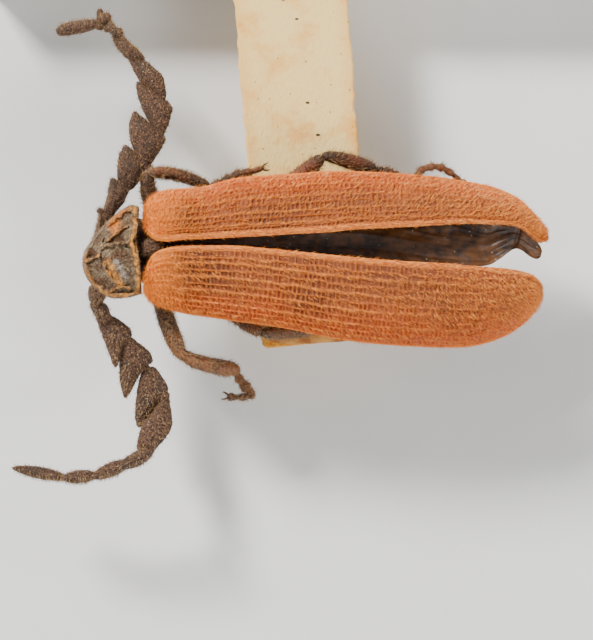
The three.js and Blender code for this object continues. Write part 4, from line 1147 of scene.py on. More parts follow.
# %% Paths of the legs
# x, y, z, half width, half depth at each station
LEGS = {
    "fore_left": {
        "femur": [
            (-2.84, -0.84, 0.38, 0.16, 0.18),
            (-2.76, -1.12, 0.4, 0.17, 0.19),
            (-2.64, -1.5, 0.44, 0.18, 0.2),
            (-2.48, -1.9, 0.47, 0.17, 0.19),
            (-2.4, -2.06, 0.47, 0.13, 0.15),
        ],
        "tibia": [
            (-2.34, -2.1, 0.44, 0.11, 0.12),
            (-2.12, -2.22, 0.36, 0.15, 0.15),
            (-1.76, -2.32, 0.17, 0.16, 0.16),
            (-1.4, -2.38, -0.06, 0.16, 0.16),
            (-1.3, -2.4, -0.12, 0.12, 0.12),
        ],
        "tarsus": [
            (-1.28, -2.46, -0.17, 0.08, 0.08),
            (-1.2, -2.62, -0.25, 0.1, 0.09),
            (-1.06, -2.78, -0.33, 0.12, 0.09),
            (-0.96, -2.88, -0.37, 0.11, 0.09),
            (-1.06, -2.94, -0.35, 0.09, 0.08),
            (-1.28, -2.96, -0.31, 0.07, 0.07),
            (-1.44, -2.94, -0.27, 0.09, 0.07),
        ],
    },
    "fore_right": {
        "femur": [
            (-2.86, 0.72, 0.32, 0.16, 0.18),
            (-2.96, 0.92, 0.36, 0.17, 0.19),
            (-3.04, 1.16, 0.42, 0.17, 0.19),
            (-3.06, 1.44, 0.46, 0.14, 0.16),
        ],
        "tibia": [
            (-2.98, 1.54, 0.46, 0.1, 0.12),
            (-2.72, 1.56, 0.44, 0.13, 0.14),
            (-2.3, 1.46, 0.4, 0.13, 0.14),
            (-1.92, 1.32, 0.36, 0.11, 0.12),
        ],
        "tarsus": [
            (-1.8, 1.29, 0.34, 0.07, 0.08),
            (-1.56, 1.36, 0.32, 0.1, 0.09),
            (-1.28, 1.5, 0.32, 0.11, 0.09),
            (-1.04, 1.56, 0.34, 0.09, 0.08),
            (-0.76, 1.64, 0.36, 0.05, 0.05),
        ],
    },
    "mid_left": {
        "femur": [
            (-1.9, -0.8, 0.3, 0.17, 0.2),
            (-1.64, -1.02, 0.48, 0.18, 0.2),
            (-1.28, -1.28, 0.76, 0.18, 0.19),
            (-0.98, -1.52, 0.99, 0.16, 0.17),
            (-0.84, -1.62, 1.07, 0.12, 0.12),
        ],
        "tibia": [
            (-0.72, -1.66, 1.05, 0.1, 0.12),
            (-0.48, -1.66, 0.92, 0.14, 0.15),
            (-0.04, -1.6, 0.6, 0.15, 0.17),
            (0.36, -1.54, 0.33, 0.15, 0.16),
            (0.48, -1.54, 0.25, 0.12, 0.12),
        ],
        "tarsus": [
            (0.58, -1.58, 0.2, 0.08, 0.08),
            (0.82, -1.62, 0.14, 0.1, 0.08),
            (1.12, -1.66, 0.1, 0.1, 0.08),
            (1.44, -1.68, 0.1, 0.07, 0.06),
            (1.6, -1.68, 0.1, 0.05, 0.05),
        ],
    },
    "mid_right": {
        "femur": [
            (-1, 0.86, 0.22, 0.17, 0.2),
            (-0.64, 1.06, 0.34, 0.18, 0.19),
            (-0.2, 1.32, 0.52, 0.19, 0.19),
            (0.2, 1.64, 0.7, 0.17, 0.17),
            (0.38, 1.8, 0.76, 0.13, 0.13),
        ],
        "tibia": [
            (0.52, 1.88, 0.76, 0.1, 0.11),
            (0.76, 1.84, 0.66, 0.14, 0.14),
            (1.12, 1.74, 0.46, 0.16, 0.16),
            (1.42, 1.64, 0.28, 0.14, 0.14),
        ],
        "tarsus": [
            (1.54, 1.62, 0.22, 0.08, 0.08),
            (1.72, 1.58, 0.2, 0.1, 0.09),
            (1.92, 1.54, 0.18, 0.07, 0.07),
            (2.08, 1.48, 0.18, 0.04, 0.04),
        ],
    },
    "hind_left": {
        "femur": [
            (-0.48, -0.72, 0.3, 0.17, 0.2),
            (0, -0.96, 0.36, 0.18, 0.2),
            (0.6, -1.26, 0.5, 0.19, 0.19),
            (1.16, -1.56, 0.6, 0.17, 0.17),
            (1.42, -1.7, 0.62, 0.12, 0.13),
        ],
        "tibia": [
            (1.54, -1.74, 0.6, 0.1, 0.12),
            (1.82, -1.72, 0.52, 0.14, 0.15),
            (2.28, -1.66, 0.28, 0.15, 0.17),
            (2.76, -1.6, -0.02, 0.15, 0.17),
            (2.98, -1.58, -0.15, 0.13, 0.13),
        ],
        "tarsus": [
            (3.1, -1.56, -0.18, 0.09, 0.09),
            (3.36, -1.54, -0.15, 0.12, 0.11),
            (3.68, -1.52, -0.19, 0.11, 0.11),
            (4, -1.5, -0.23, 0.08, 0.08),
        ],
    },
    "hind_right": {
        "femur": [
            (-0.4, 0.76, 0.3, 0.17, 0.2),
            (0.2, 0.9, 0.32, 0.18, 0.2),
            (0.8, 1.02, 0.42, 0.18, 0.19),
            (1.32, 1.12, 0.5, 0.13, 0.14),
        ],
        "tibia": [
            (1.46, 1.14, 0.48, 0.1, 0.12),
            (1.72, 1.2, 0.44, 0.14, 0.14),
            (2.04, 1.32, 0.36, 0.13, 0.13),
            (2.24, 1.42, 0.3, 0.1, 0.1),
        ],
        "tarsus": [
            (2.32, 1.5, 0.26, 0.07, 0.07),
            (2.48, 1.63, 0.26, 0.08, 0.07),
            (2.72, 1.68, 0.22, 0.08, 0.07),
            (2.96, 1.6, 0.1, 0.08, 0.07),
            (3.22, 1.4, -0.02, 0.05, 0.05),
        ],
    },
}


# %% Feet and claws
FOOT_JOINTS = 5
ONE_JOINT = ((0.0, 0.62), (0.06, 0.8), (0.14, 1.1), (0.185, 1.0))  # share of the foot, swelling
FOOT = [(k / FOOT_JOINTS + share, swell) for k in range(FOOT_JOINTS) for share, swell in ONE_JOINT]
FOOT.append((1.0, 0.6))
# forward, outward and downward from the tip of the foot, half width
CLAW = (
    (0, 0.02, 0, 0.026), (0.06, 0.06, 0, 0.022),
    (0.12, 0.075, 0.03, 0.014), (0.14, 0.06, 0.08, 0.006),
)


def claws(rows):
    """Two hooked claws at the end of a foot's path."""
    tip = rows[-1, :3]
    ahead = rows[-1, :3] - rows[-4, :3]
    ahead /= np.linalg.norm(ahead)
    side = np.cross(ahead, (0, 0, 1.0))
    side /= np.linalg.norm(side)
    hooks = []
    for way in (1, -1):
        path = [
            [*(tip + ahead * on + side * way * out - np.array([0, 0, fall])), thick, thick]
            for on, out, fall, thick in CLAW
        ]
        hooks.append(rounded(limb(path, sides=6, plump=1.0)[0], levels=1, strength=0.0))
    return hooks


# %% Finish of the legs
def leg_skin():
    skin = Finish("dark_brown_leg", Roughness=0.5, Specular_IOR_Level=0.32)
    place = skin.place()
    fine = skin.noise(place, 20.0, 5.0, 0.7)
    broad = skin.noise(place, 1.6, 2.0)
    patches = broad.ramp(0.38, 0.68)
    dusty = skin.held("dusty")
    deep = skin.mix(tone(34, 14, 7), tone(104, 44, 20), patches)
    body = skin.mix(deep, skin.mix(tone(52, 28, 14), tone(132, 74, 38), patches), dusty)
    dust = (fine * fine * 4.0 - 0.8).at_least(0.0).at_most(0.6) * (dusty * 0.8 + 0.2)
    return skin.wear(
        Base_Color=skin.mix(body, tone(170, 128, 84), dust),
        Roughness=fine.ramp(0.2, 0.8, 0.32, 0.6),
        Normal=skin.bump(fine, 0.03, 0.9),
    )


# %% Build the legs
leg_finish = leg_skin()
DUSTY = {
    "fore_left": 0.8, "fore_right": 0.4,
    "mid_left": 0.5, "mid_right": 0.1,
    "hind_left": 0.5, "hind_right": 0.7,
}
for leg, lengths in LEGS.items():
    for length, stations in lengths.items():
        foot = length == "tarsus"
        piece, rows = limb(stations, sides=10, knots=FOOT if foot else None)
        whole = [rounded(piece, levels=2, size=0.08, strength=0.012)]
        if foot:
            whole += claws(rows)
        name = f"leg_{leg}_{length}"
        whole = joined(whole)
        hold(whole, "dusty", np.full(len(whole.data.vertices), DUSTY[leg]))
        settle(whole, name + "_rounded", [name], leg_finish, 180)

# %% [markdown]
# ## Hind wings
# Between the wing cases lie the folded flying wings: dark smoky membranes, pleated along
# their length and stiffened by veins, with a soft gloss. Each is a grid between the two
# edges that its table gives, pleated and crumpled by formula, and given a thin wall. Real
# cloth tools would fold it better, but nobody sees the folds under the wing cases.

# %% Pleat the membranes
# inner edge, outer edge, top z
LEFT_WING = [
    ((-2.48, 0.02), (-2.48, -0.8), 0.98),
    ((-1, 0.01), (-1, -1.12), 0.98),
    ((0, -0.02), (0, -1.2), 0.94),
    ((1, -0.06), (1, -1.24), 0.9),
    ((2, -0.14), (2, -1.16), 0.86),
    ((3, -0.28), (3, -0.96), 0.8),
    ((3.6, -0.4), (3.6, -0.68), 0.76),
    ((4, -0.48), (4, -0.58), 0.74),
]
RIGHT_WING = [
    ((-2.7, 0.04), (-2.7, 0.88), 1.16),
    ((-1, -0.02), (-1, 1.2), 1.16),
    ((0, -0.08), (0, 1.28), 1.13),
    ((1, -0.15), (1, 1.32), 1.06),
    ((2, -0.22), (2, 1.24), 1.0),
    ((3, -0.29), (3, 0.92), 1.0),
    ((3.68, -0.32), (3.68, 0.62), 1.0),
    ((3.98, -0.19), (3.98, 0.62), 0.97),
    ((4.26, 0.01), (4.28, 0.56), 0.92),
    ((4.42, 0), (4.44, 0.45), 0.86),
    ((4.6, -0.13), (4.64, 0.29), 0.78),
    ((4.74, -0.18), (4.8, 0.1), 0.71),
    ((4.82, -0.14), (4.85, -0.02), 0.68),
]
WING_VEINS = (0.12, 0.3, 0.45, 0.68, 0.86)
WING_WALL = 0.05
LOBE_FROM = 4.3  # x where the folded tip begins


def membrane(name, table, outer_lift, node, material, seed):
    """A pleated sheet between two edges, lifted toward its outer edge."""
    along, across = ((260, 48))
    sheet, u, t = flat_grid(along, across)
    rows = [(*inner, *outer, top) for inner, outer, top in table]
    inner_x, inner_y, outer_x, outer_y, top = at_grid(rows, along, u)
    x = inner_x + (outer_x - inner_x) * t
    y = inner_y + (outer_y - inner_y) * t
    rng = np.random.default_rng(seed)
    sway = 0.03 * np.sin(x * 1.7 + seed)
    vein = np.max([ridge(t - v - sway, 0.035) for v in WING_VEINS], 0)
    vein *= limited((LOBE_FROM + 0.1 - x) * 3)
    pleat = 0.034 * np.sin(t * 4.6 + x * 0.75 + seed) + 0.008 * np.sin(t * 12 - x * 1.3 + 1)
    crumple = 0.02 * np.sin(x * 5 + t * 6) * np.sin(x * 3.3 - t * 7) + rng.normal(0, 0.001, len(x))
    crumple += 0.008 * np.sin(x * 13 + 4 * np.sin(t * 6)) * np.sin(t * 15 + x * 5)
    crease = -0.05 * bump_at(x - LOBE_FROM - 0.12 * t, 0.05)
    lift = outer_lift * t * t * limited((3.6 - x) / 2)
    z = top + lift + pleat + crumple + 0.014 * vein + crease
    bent_to(sheet, np.stack([x, y, z], 1))
    hold(sheet, "vein", vein)
    hold(sheet, "tip", limited((x - LOBE_FROM) / 0.1))
    walled(sheet, WING_WALL)
    return settle(sheet, name, [node], material, sharp=80)


# %% Finish of the membranes
def smoky():
    skin = Finish("smoky_membrane", Roughness=0.42, Specular_IOR_Level=0.45)
    place = skin.place()
    folds = skin.noise(skin.stretched(place, 0.7, 2.0, 1.0), 1.8, 4.0)
    broad = skin.noise(place, 6.0, 4.0)
    body = skin.mix(tone(34, 19, 8), tone(98, 60, 26), (folds * 0.6 + broad * 0.5).ramp(0.38, 0.68))
    veined = skin.mix(body, tone(40, 20, 9), skin.held("vein") * 0.5)
    tip = skin.mix(tone(66, 38, 18), tone(108, 70, 38), broad.ramp(0.35, 0.65))
    lobed = skin.mix(veined, tip, skin.held("tip") * 0.85)
    dust = skin.cells(place, 8.0).ramp(0.06, 0.13, 1.0, 0.0)
    dust = dust * skin.noise(place, 4.0).ramp(0.44, 0.56)
    return skin.wear(
        Base_Color=skin.mix(lobed, tone(196, 176, 146), dust * 0.7),
        Roughness=folds.ramp(0.35, 0.65, 0.55, 0.3),
        Normal=skin.bump(folds + broad * 0.5, 0.02, 0.9),
    )


wing_finish = smoky()
membrane("hind_wing_left_folded", LEFT_WING, 0.2, "hindwing_left", wing_finish, 2)
membrane("hind_wing_right_folded", RIGHT_WING, 0.0, "hindwing_right", wing_finish, 6)

# %% [markdown]
# ## Body under the wing cases
# The fore body, the thorax with its six hip lobes, and the soft ringed abdomen are dark
# red-brown and show from the sides. Each is a circle drawn out through a few sections,
# with a step at every ring of the abdomen, then rounded and roughened. Sections are the
# plainest way to say how wide and how deep a body is at each place along it.

# %% Sections of the body
# centre, half width, top z, bottom z
SECTIONS = {
    "prothorax": [
        ((-3.8, -0.04), 0.3, 0.7, 0.34),
        ((-3.6, -0.04), 0.58, 0.86, 0.16),
        ((-3.36, -0.02), 0.66, 0.98, 0.06),
        ((-3.14, 0), 0.62, 1.04, 0.1),
        ((-2.98, 0.02), 0.5, 1.0, 0.26),
    ],
    "thorax": [
        ((-2.98, 0.04), 0.42, 1.08, 0.4),
        ((-2.8, 0.04), 0.82, 1.18, 0.16),
        ((-2.5, 0.04), 0.98, 1.18, -0.12),
        ((-2.1, 0.02), 1.06, 1.02, -0.28),
        ((-1.7, 0), 1.08, 0.94, -0.36),
        ((-1.4, 0), 1.06, 0.9, -0.32),
        ((-1.24, -0.02), 1.0, 0.88, -0.12),
        ((-1.08, -0.02), 0.94, 0.86, 0.24),
        ((-0.76, -0.02), 0.82, 0.82, 0.26),
    ],
    "abdomen": [
        ((-0.72, -0.02), 0.76, 0.76, 0.26),
        ((-0.3, -0.04), 0.84, 0.78, 0.22),
        ((0.3, -0.08), 0.82, 0.76, 0.2),
        ((0.9, -0.12), 0.74, 0.7, 0.18),
        ((1.44, -0.14), 0.6, 0.62, 0.18),
        ((1.84, -0.18), 0.48, 0.52, 0.02),
        ((2.16, -0.2), 0.32, 0.4, -0.04),
        ((2.32, -0.2), 0.14, 0.28, 0.06),
    ],
    "head": [
        ((-4.24, -0.24), 0.14, 0.42, 0.2),
        ((-4.14, -0.24), 0.36, 0.56, 0.08),
        ((-3.98, -0.24), 0.48, 0.74, 0.0),
        ((-3.8, -0.24), 0.52, 0.84, -0.02),
        ((-3.64, -0.22), 0.46, 0.84, 0.04),
        ((-3.48, -0.2), 0.3, 0.72, 0.2),
    ],
}
# x, y, z, half width, half depth
MOUTH = [
    (-3.92, -0.24, 0.12, 0.26, 0.2),
    (-3.96, -0.24, -0.06, 0.22, 0.16),
    (-4, -0.24, -0.2, 0.1, 0.08),
]
# centre, half sizes and turn of each hip lobe
HIPS = [
    ((-2.86, -0.68), 0.12, 0.2, 0.34, 0.2),
    ((-2.86, 0.56), 0.12, 0.2, 0.34, -0.2),
    ((-1.94, -0.68), -0.12, 0.34, 0.3, 0.5),
    ((-1.08, 0.68), 0.1, 0.34, 0.3, -0.5),
    ((-0.56, -0.6), 0.24, 0.4, 0.26, 0.6),
    ((-0.48, 0.64), 0.24, 0.4, 0.26, -0.6),
]
EYES = {"left": (-3.7, -0.672, 0.53), "right": (-3.7, 0.22, 0.53)}
EYE_RADIUS = 0.25
HIP_HIGH = 0.26
THINNEST = 0.03


# %% Draw a body through its sections
def lofted(sections, sides=24, rings=1.0):
    """A closed body through the sections, with steps as deep as rings says."""
    rows = [(*centre, half, top, bottom) for centre, half, top, bottom in sections]
    fine = 3
    table = [smoothed(rows, k / fine) for k in range((len(rows) - 1) * fine + 1)]
    piece = disc(sides)
    before = np.zeros(3)
    size = (1.0, 1.0)
    for k, (x, y, half, top, bottom) in enumerate(table):
        centre = np.array([x, y, (top + bottom) / 2])
        swell = 1 + 0.03 * (rings if k % 2 else -rings)
        now = (max(half, THINNEST) * swell, max((top - bottom) / 2, THINNEST) * swell)
        move = {"value": tuple(centre - before)}
        if k:
            bpy.ops.mesh.extrude_region_move(TRANSFORM_OT_translate=move)
        else:
            bpy.ops.transform.translate(**move)
        bpy.ops.transform.resize(
            value=(1, now[0] / size[0], now[1] / size[1]), center_override=tuple(centre))
        before, size = centre, now
    bpy.ops.object.mode_set(mode="OBJECT")
    return piece


def lobe(centre, z, long, wide, turn):
    """One hip, as a ball drawn long and turned outward."""
    alone()
    bpy.ops.mesh.primitive_uv_sphere_add(
        segments=20, ring_count=12, radius=1.0, location=(*centre, z))
    piece = bpy.context.object
    piece.rotation_euler = (0, 0, turn)
    piece.scale = (long, wide, HIP_HIGH)
    bpy.ops.object.transform_apply(location=True, rotation=True, scale=True)
    opened()
    bpy.ops.transform.vertex_random(offset=0.012, seed=4)
    bpy.ops.object.mode_set(mode="OBJECT")
    return piece


# %% Finish of the body
def trunk_skin():
    skin = Finish("red_brown_body", Roughness=0.5, Specular_IOR_Level=0.45)
    place = skin.place()
    fine = skin.noise(place, 16.0, 5.0, 0.7)
    broad = skin.noise(place, 1.8, 3.0)
    body = skin.mix(tone(40, 23, 17), tone(98, 50, 30), broad.ramp(0.4, 0.7))
    dust = (fine * broad * 2.6 - 0.75).at_least(0.0).at_most(0.55)
    dusty = skin.mix(body, tone(140, 104, 74), dust)
    tail = skin.mix(tone(150, 112, 62), tone(206, 176, 122), fine)
    return skin.wear(
        Base_Color=skin.mix(dusty, tail, skin.held("pale") * 0.85),
        Roughness=fine.ramp(0.2, 0.8, 0.35, 0.7),
        Normal=skin.bump(fine, 0.04, 0.9),
    )


# %% Build the body
trunk_finish = trunk_skin()
RING_DEPTHS = {"abdomen": 1.6, "thorax": 0.8, "prothorax": 0.4, "head": 0.4}
for name, sections in SECTIONS.items():
    form = lofted(sections, rings=RING_DEPTHS[name])
    parts = [rounded(form, levels=2, size=0.2, strength=0.05)]
    if name == "thorax":
        parts += [rounded(lobe(*hip), levels=1, size=0.1, strength=0.03) for hip in HIPS]
    if name == "head":
        parts.append(rounded(limb(MOUTH, sides=12)[0], levels=2, size=0.1, strength=0.04))
    whole = joined(parts)
    spots = np.array([vertex.co for vertex in whole.data.vertices])
    tail = limited((spots[:, 0] - 1.4) / 0.4) * limited((0.34 - spots[:, 2]) / 0.15)
    hold(whole, "pale", tail if name == "abdomen" else tail * 0)
    settle(whole, name + "_body", [name], trunk_finish, 180)

# %% [markdown]
# The eyes bulge from the sides of the head, black and glossy, with hundreds of tiny facets.
# Each is a ball drawn a little flatter, and its facets are a bump of small cells, because
# they are far too fine to model.

# %% Eyes
def eye_skin():
    skin = Finish("facetted_eye", Roughness=0.22, Specular_IOR_Level=0.6, Coat_Weight=0.3)
    place = skin.place()
    facets = skin.cells(place, 42.0, spread=0.25)
    broad = skin.noise(place, 6.0)
    return skin.wear(
        Base_Color=skin.mix(tone(14, 11, 10), tone(52, 38, 30), broad.ramp(0.45, 0.75)),
        Roughness=broad.ramp(0.3, 0.7, 0.15, 0.4),
        Normal=skin.bump(1.0 - facets, 0.015, 0.8),
    )


eye_finish = eye_skin()
for side, (x, y, z) in EYES.items():
    alone()
    bpy.ops.mesh.primitive_uv_sphere_add(
        segments=40, ring_count=24, radius=EYE_RADIUS, location=(x, y, z))
    ball = bpy.context.object
    bpy.ops.object.transform_apply(location=True)
    opened()
    bpy.ops.transform.resize(value=(1.0, 0.9, 1.05), center_override=(x, y, z))
    bpy.ops.object.mode_set(mode="OBJECT")
    settle(ball, f"eye_{side}_ball", [f"eye_{side}"], eye_finish, 180)

# %% [markdown]
# The scutellum is the small downy tongue between the roots of the wing cases. Its outline
# is a flat face, which is drawn up in shrinking rings and rounded with Subdivision.

# %% Scutellum
TONGUE = [
    (-3.12, 0.2), (-3, 0.22), (-2.88, 0.2), (-2.78, 0.14), (-2.7, 0.07), (-2.7, 0),
    (-2.78, -0.08), (-2.88, -0.12), (-3, -0.14), (-3.12, -0.12), (-3.16, -0.04), (-3.16, 0.12),
]
TONGUE_CENTRE = (-2.94, 0.04, 1.3)
TONGUE_STEPS = ((0.2, 1.0), (0.05, 0.9), (0.04, 0.72), (0.015, 0.4))  # rise, shrink


def drawn_up(steps, centre):
    """Extrudes what is selected upward, rise by rise, and shrinks each new ring."""
    for rise, shrink in steps:
        bpy.ops.mesh.extrude_region_move(TRANSFORM_OT_translate={"value": (0, 0, rise)})
        bpy.ops.transform.resize(value=(shrink, shrink, 1), center_override=centre)
    bpy.ops.object.mode_set(mode="OBJECT")


def scutellum_piece():
    piece = plate(TONGUE, 1.2)
    drawn_up(TONGUE_STEPS, TONGUE_CENTRE)
    return settle(rounded(piece, levels=2, size=0.07, strength=0.02), "scutellum_tongue",
                  ["scutellum"], feeler_finish, 180)


scutellum_piece()

# %% [markdown]
# ## Card, glue and stand
# The insect is glued across a strip of cream card, cut by hand with a blade, so its edges
# waver a little and its fibres show. The card is a grid laid between its four corners, with
# a fine relief of fibres, and drawn straight down to its thickness, as a blade cuts it. A
# pin with a round head holds its far end on a block of white foam.

# %% The card strip's size
CARD_THICK = 0.45
CARD_WIDE, CARD_LONG = 2.2, 12.0
# near left, near right, far right, far left
CARD_CORNERS = ((-0.76, -1.98), (1.44, -1.76), (0.62, 10.0), (-1.73, 10.0))
PIN = (-0.42, 8.4)


# %% Finish of the card
def card_skin():
    skin = Finish("cream_card", Roughness=0.85, Specular_IOR_Level=0.25)
    place = skin.place()
    fibres = skin.noise(skin.stretched(place, 2.0, 0.7, 2.0), 9.0, 5.0, 0.7)
    fine = skin.noise(place, 30.0, 4.0, 0.7)
    broad = skin.noise(place, 0.55, 3.0)
    blotch = skin.noise(place, 1.5, 5.0, 0.65)
    paper = skin.mix(tone(252, 196, 104), tone(255, 230, 156), fibres * 0.6 + broad * 0.45)
    aged = blotch.ramp(0.48, 0.72) * 0.6 + skin.held("rim") * 0.35
    tan = skin.mix(paper, tone(244, 164, 62), aged)
    specks = skin.cells(place, 4.5).ramp(0.05, 0.1, 1.0, 0.0)
    specks = specks * skin.noise(place, 2.0).ramp(0.42, 0.5)
    blots = skin.cells(skin.stretched(place, 0.8, 1.4, 1.0), 1.1).ramp(0.035, 0.05, 1.0, 0.0)
    dotted = skin.mix(tan, tone(46, 32, 24), (specks * 0.8 + blots).at_most(0.95))
    soaked = (skin.held("soaked") + (fibres - 0.5) * 0.5).ramp(0.35, 0.75)
    amber = skin.mix(tone(206, 122, 26), tone(240, 172, 58), fibres.ramp(0.3, 0.7))
    return skin.wear(
        Base_Color=skin.mix(dotted, amber, soaked),
        Roughness=soaked.ramp(0.0, 1.0, 0.88, 0.42),
        Normal=skin.bump(fibres + fine * 0.5, 0.025, 0.7),
    )


# %% Cut the card
def card_piece():
    across, along = ((110, 420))
    sheet, u, v = flat_grid(across, along)
    near_left, near_right, far_right, far_left = (np.array(c) for c in CARD_CORNERS)
    weight = [(1 - u) * (1 - v), u * (1 - v), u * v, (1 - u) * v]
    corners = (near_left, near_right, far_right, far_left)
    plan = sum(w[:, None] * c for w, c in zip(weight, corners))
    rng = np.random.default_rng(11)
    for side in (u < 0.02, u > 0.98):
        wander = np.interp(plan[:, 1], np.linspace(-3, 10, 90), rng.normal(0, 0.014, 90))
        plan[:, 0] += np.where(side, wander, 0)
    from_side = np.minimum(u, 1 - u) * CARD_WIDE
    corner = limited(1 - from_side / 0.1467) ** 2 * limited(1 - v * CARD_LONG / 0.16)
    plan[:, 1] += corner * 0.09
    edge = np.minimum(from_side, np.minimum(v, 1 - v) * CARD_LONG)
    z = -0.035 * limited(1 - edge / 0.035) ** 2 + rng.normal(0, 0.0025, len(u))
    bent_to(sheet, np.column_stack([plan, z]))
    hold(sheet, "rim", limited(1 - from_side / 0.3))
    walled(sheet, CARD_THICK)
    spots = read(sheet.data.vertices, "co")
    near = 1 - limited((spots[:, 1] + 1.7) / 0.5)
    hold(sheet, "soaked", near * limited(0.95 + spots[:, 2] / 0.6))
    return settle(sheet, "card_strip_cut", ["card_strip"], card_skin(), sharp=50)


card_piece()

# %% [markdown]
# The glue is a clear amber smear that spreads from under the body over the card's end. Like
# the scutellum it is a flat face drawn up in rings, but low and wide, and glossy.

# %% The glue
GLUE = [
    (-1.04, 0.92), (-0.96, 1.08), (-0.5, 1.14), (0, 1.2), (0.56, 1.16), (1, 1.08), (1.32, 0.72),
    (1.44, 0.2), (1.4, -0.4), (1.42, -1.1), (1.4, -1.76), (0.8, -1.88), (0, -1.9), (-0.72, -1.92),
    (-0.8, -1.5), (-0.88, -1), (-1, 0),
]


def glue_skin():
    skin = Finish("amber_glue", Roughness=0.3, Specular_IOR_Level=0.5, Coat_Weight=0.3)
    broad = skin.noise(skin.place(), 3.0, 4.0)
    return skin.wear(
        Base_Color=skin.mix(tone(150, 84, 22), tone(216, 150, 60), broad.ramp(0.3, 0.7)),
        Roughness=broad.ramp(0.3, 0.7, 0.18, 0.45),
        Normal=skin.bump(broad, 0.03, 0.7),
    )


def glue_piece():
    drop = plate(GLUE[::-1], 0.004)
    drawn_up(((0.03, 0.99), (0.07, 0.94), (0.05, 0.8), (0.02, 0.45)), (0.25, -0.4, 0))
    return settle(rounded(drop, levels=3, size=0.3, strength=0.05), "glue_smear",
                  ["glue"], glue_skin(), 180)


glue_piece()

# %% [markdown]
# The block is a cut piece of closed-cell foam. A cube of its size is cut into a fine grid,
# its edges are bevelled, and a fine displacement gives it its beaded skin. The pin is a
# lathe form: a circle drawn up through a stem, a collar and a domed head.

# %% Finish of the foam
def foam_skin():
    skin = Finish("white_foam", Roughness=0.9, Specular_IOR_Level=0.2)
    place = skin.place()
    beads = skin.cells(place, 5.0)
    pores = skin.noise(place, 20.0, 3.0)
    white = beads.ramp(0.1, 0.6) * 0.6 + pores * 0.4
    return skin.wear(
        Base_Color=skin.mix(tone(222, 220, 212), tone(240, 239, 234), white),
        Roughness=pores.ramp(0.3, 0.7, 0.8, 0.95),
        Normal=skin.bump((1.0 - beads) + pores * 0.4, 0.06, 0.8),
    )


# %% The foam block
BLOCK = (12.0, 7.0, 1.57)
BLOCK_CENTRE = (-CARD_ORIGIN.x, -CARD_ORIGIN.y, BLOCK[2] / 2 - CARD_ORIGIN.z)
BLOCK_EDGE = 0.16


def block():
    alone()
    bpy.ops.mesh.primitive_cube_add(size=1.0, location=BLOCK_CENTRE)
    piece = bpy.context.object
    bpy.ops.transform.resize(value=BLOCK)
    bpy.ops.object.transform_apply(location=True, scale=True)
    edges = piece.modifiers.new("edges", "BEVEL")
    edges.width = BLOCK_EDGE
    edges.segments = 3
    apply_all(piece)
    alone(piece)
    opened()
    bpy.ops.mesh.subdivide(number_cuts=24)
    bpy.ops.object.mode_set(mode="OBJECT")
    grain(piece, 0.22, 0.06)
    apply_all(piece)
    for vertex in piece.data.vertices:
        vertex.co.z = max(vertex.co.z, -CARD_ORIGIN.z)
    return settle(piece, "foam_block", ["stand_base"], foam_skin(), 60)


block()

# %% The pin
# height and radius along the stem, collar and head
PIN_PROFILE = [
    (-1.2, 0.25), (0.03, 0.26), (0.035, 0.4), (0.05, 0.48),
    (0.12, 0.5), (0.19, 0.46), (0.25, 0.3), (0.268, 0.12),
]


def steel():
    skin = Finish("steel_pin", Roughness=0.3, Metallic=1.0)
    brushed = skin.noise(skin.stretched(skin.place(), 1.0, 1.0, 8.0), 6.0)
    return skin.wear(
        Base_Color=skin.mix(tone(150, 148, 142), tone(196, 194, 188), brushed),
        Roughness=brushed.ramp(0.3, 0.7, 0.22, 0.45),
        Normal=skin.bump(brushed, 0.01, 0.4),
    )


def pin():
    alone()
    bpy.ops.mesh.primitive_circle_add(
        vertices=48, radius=1.0, fill_type="NGON", location=(*PIN, 0))
    bpy.ops.object.transform_apply(location=True)
    piece = bpy.context.object
    opened()
    height, radius = 0.0, 1.0
    for k, (z, r) in enumerate(PIN_PROFILE):
        move = {"value": (0, 0, z - height)}
        if k:
            bpy.ops.mesh.extrude_region_move(TRANSFORM_OT_translate=move)
        else:
            bpy.ops.transform.translate(**move)
        slimmer = r / radius
        bpy.ops.transform.resize(value=(slimmer, slimmer, 1), center_override=(*PIN, z))
        height, radius = z, r
    bpy.ops.object.mode_set(mode="OBJECT")
    outward(piece)
    return settle(piece, "pin_with_head", ["stand_pin"], steel(), 40)


pin()

# %% [markdown]
# ## Down
# Short golden hairs lie all over the wing cases, most of them along the ribs, and thinner
# down covers the shield, the feelers and the legs. One hair is modelled as a slender bent
# cone. It is then copied to its roots, each copy turned and sized by chance, and all the
# hairs of one skin make one piece. Solid hairs cost faces, but they keep their shape in
# every program that opens the finished model, which particle hair would not.

# %% One hair and its copies
HAIR_ROOT = 0.055  # radius of the modelled hair, which is 1 long
HAIR_BEND = 0.28


def one_hair():
    """The points and faces of a single hair, which is one long and stands upright."""
    alone()
    bpy.ops.mesh.primitive_cone_add(
        vertices=3, radius1=HAIR_ROOT, radius2=0.0, depth=1.0, location=(0, 0, 0.5))
    hair = bpy.context.object
    bpy.ops.object.transform_apply(location=True)
    opened()
    bpy.ops.mesh.bisect(plane_co=(0, 0, 0.5), plane_no=(0, 0, 1))
    bpy.ops.mesh.select_all(action="SELECT")
    bpy.ops.mesh.normals_make_consistent(inside=False)
    bpy.ops.mesh.quads_convert_to_tris()
    bpy.ops.object.mode_set(mode="OBJECT")
    shape = np.array([vertex.co for vertex in hair.data.vertices])
    shape[:, 0] += HAIR_BEND * shape[:, 2] ** 2
    faces = np.array([face.vertices[:] for face in hair.data.polygons])
    bpy.data.objects.remove(hair)
    return shape, faces


HAIR, HAIR_FACES = one_hair()


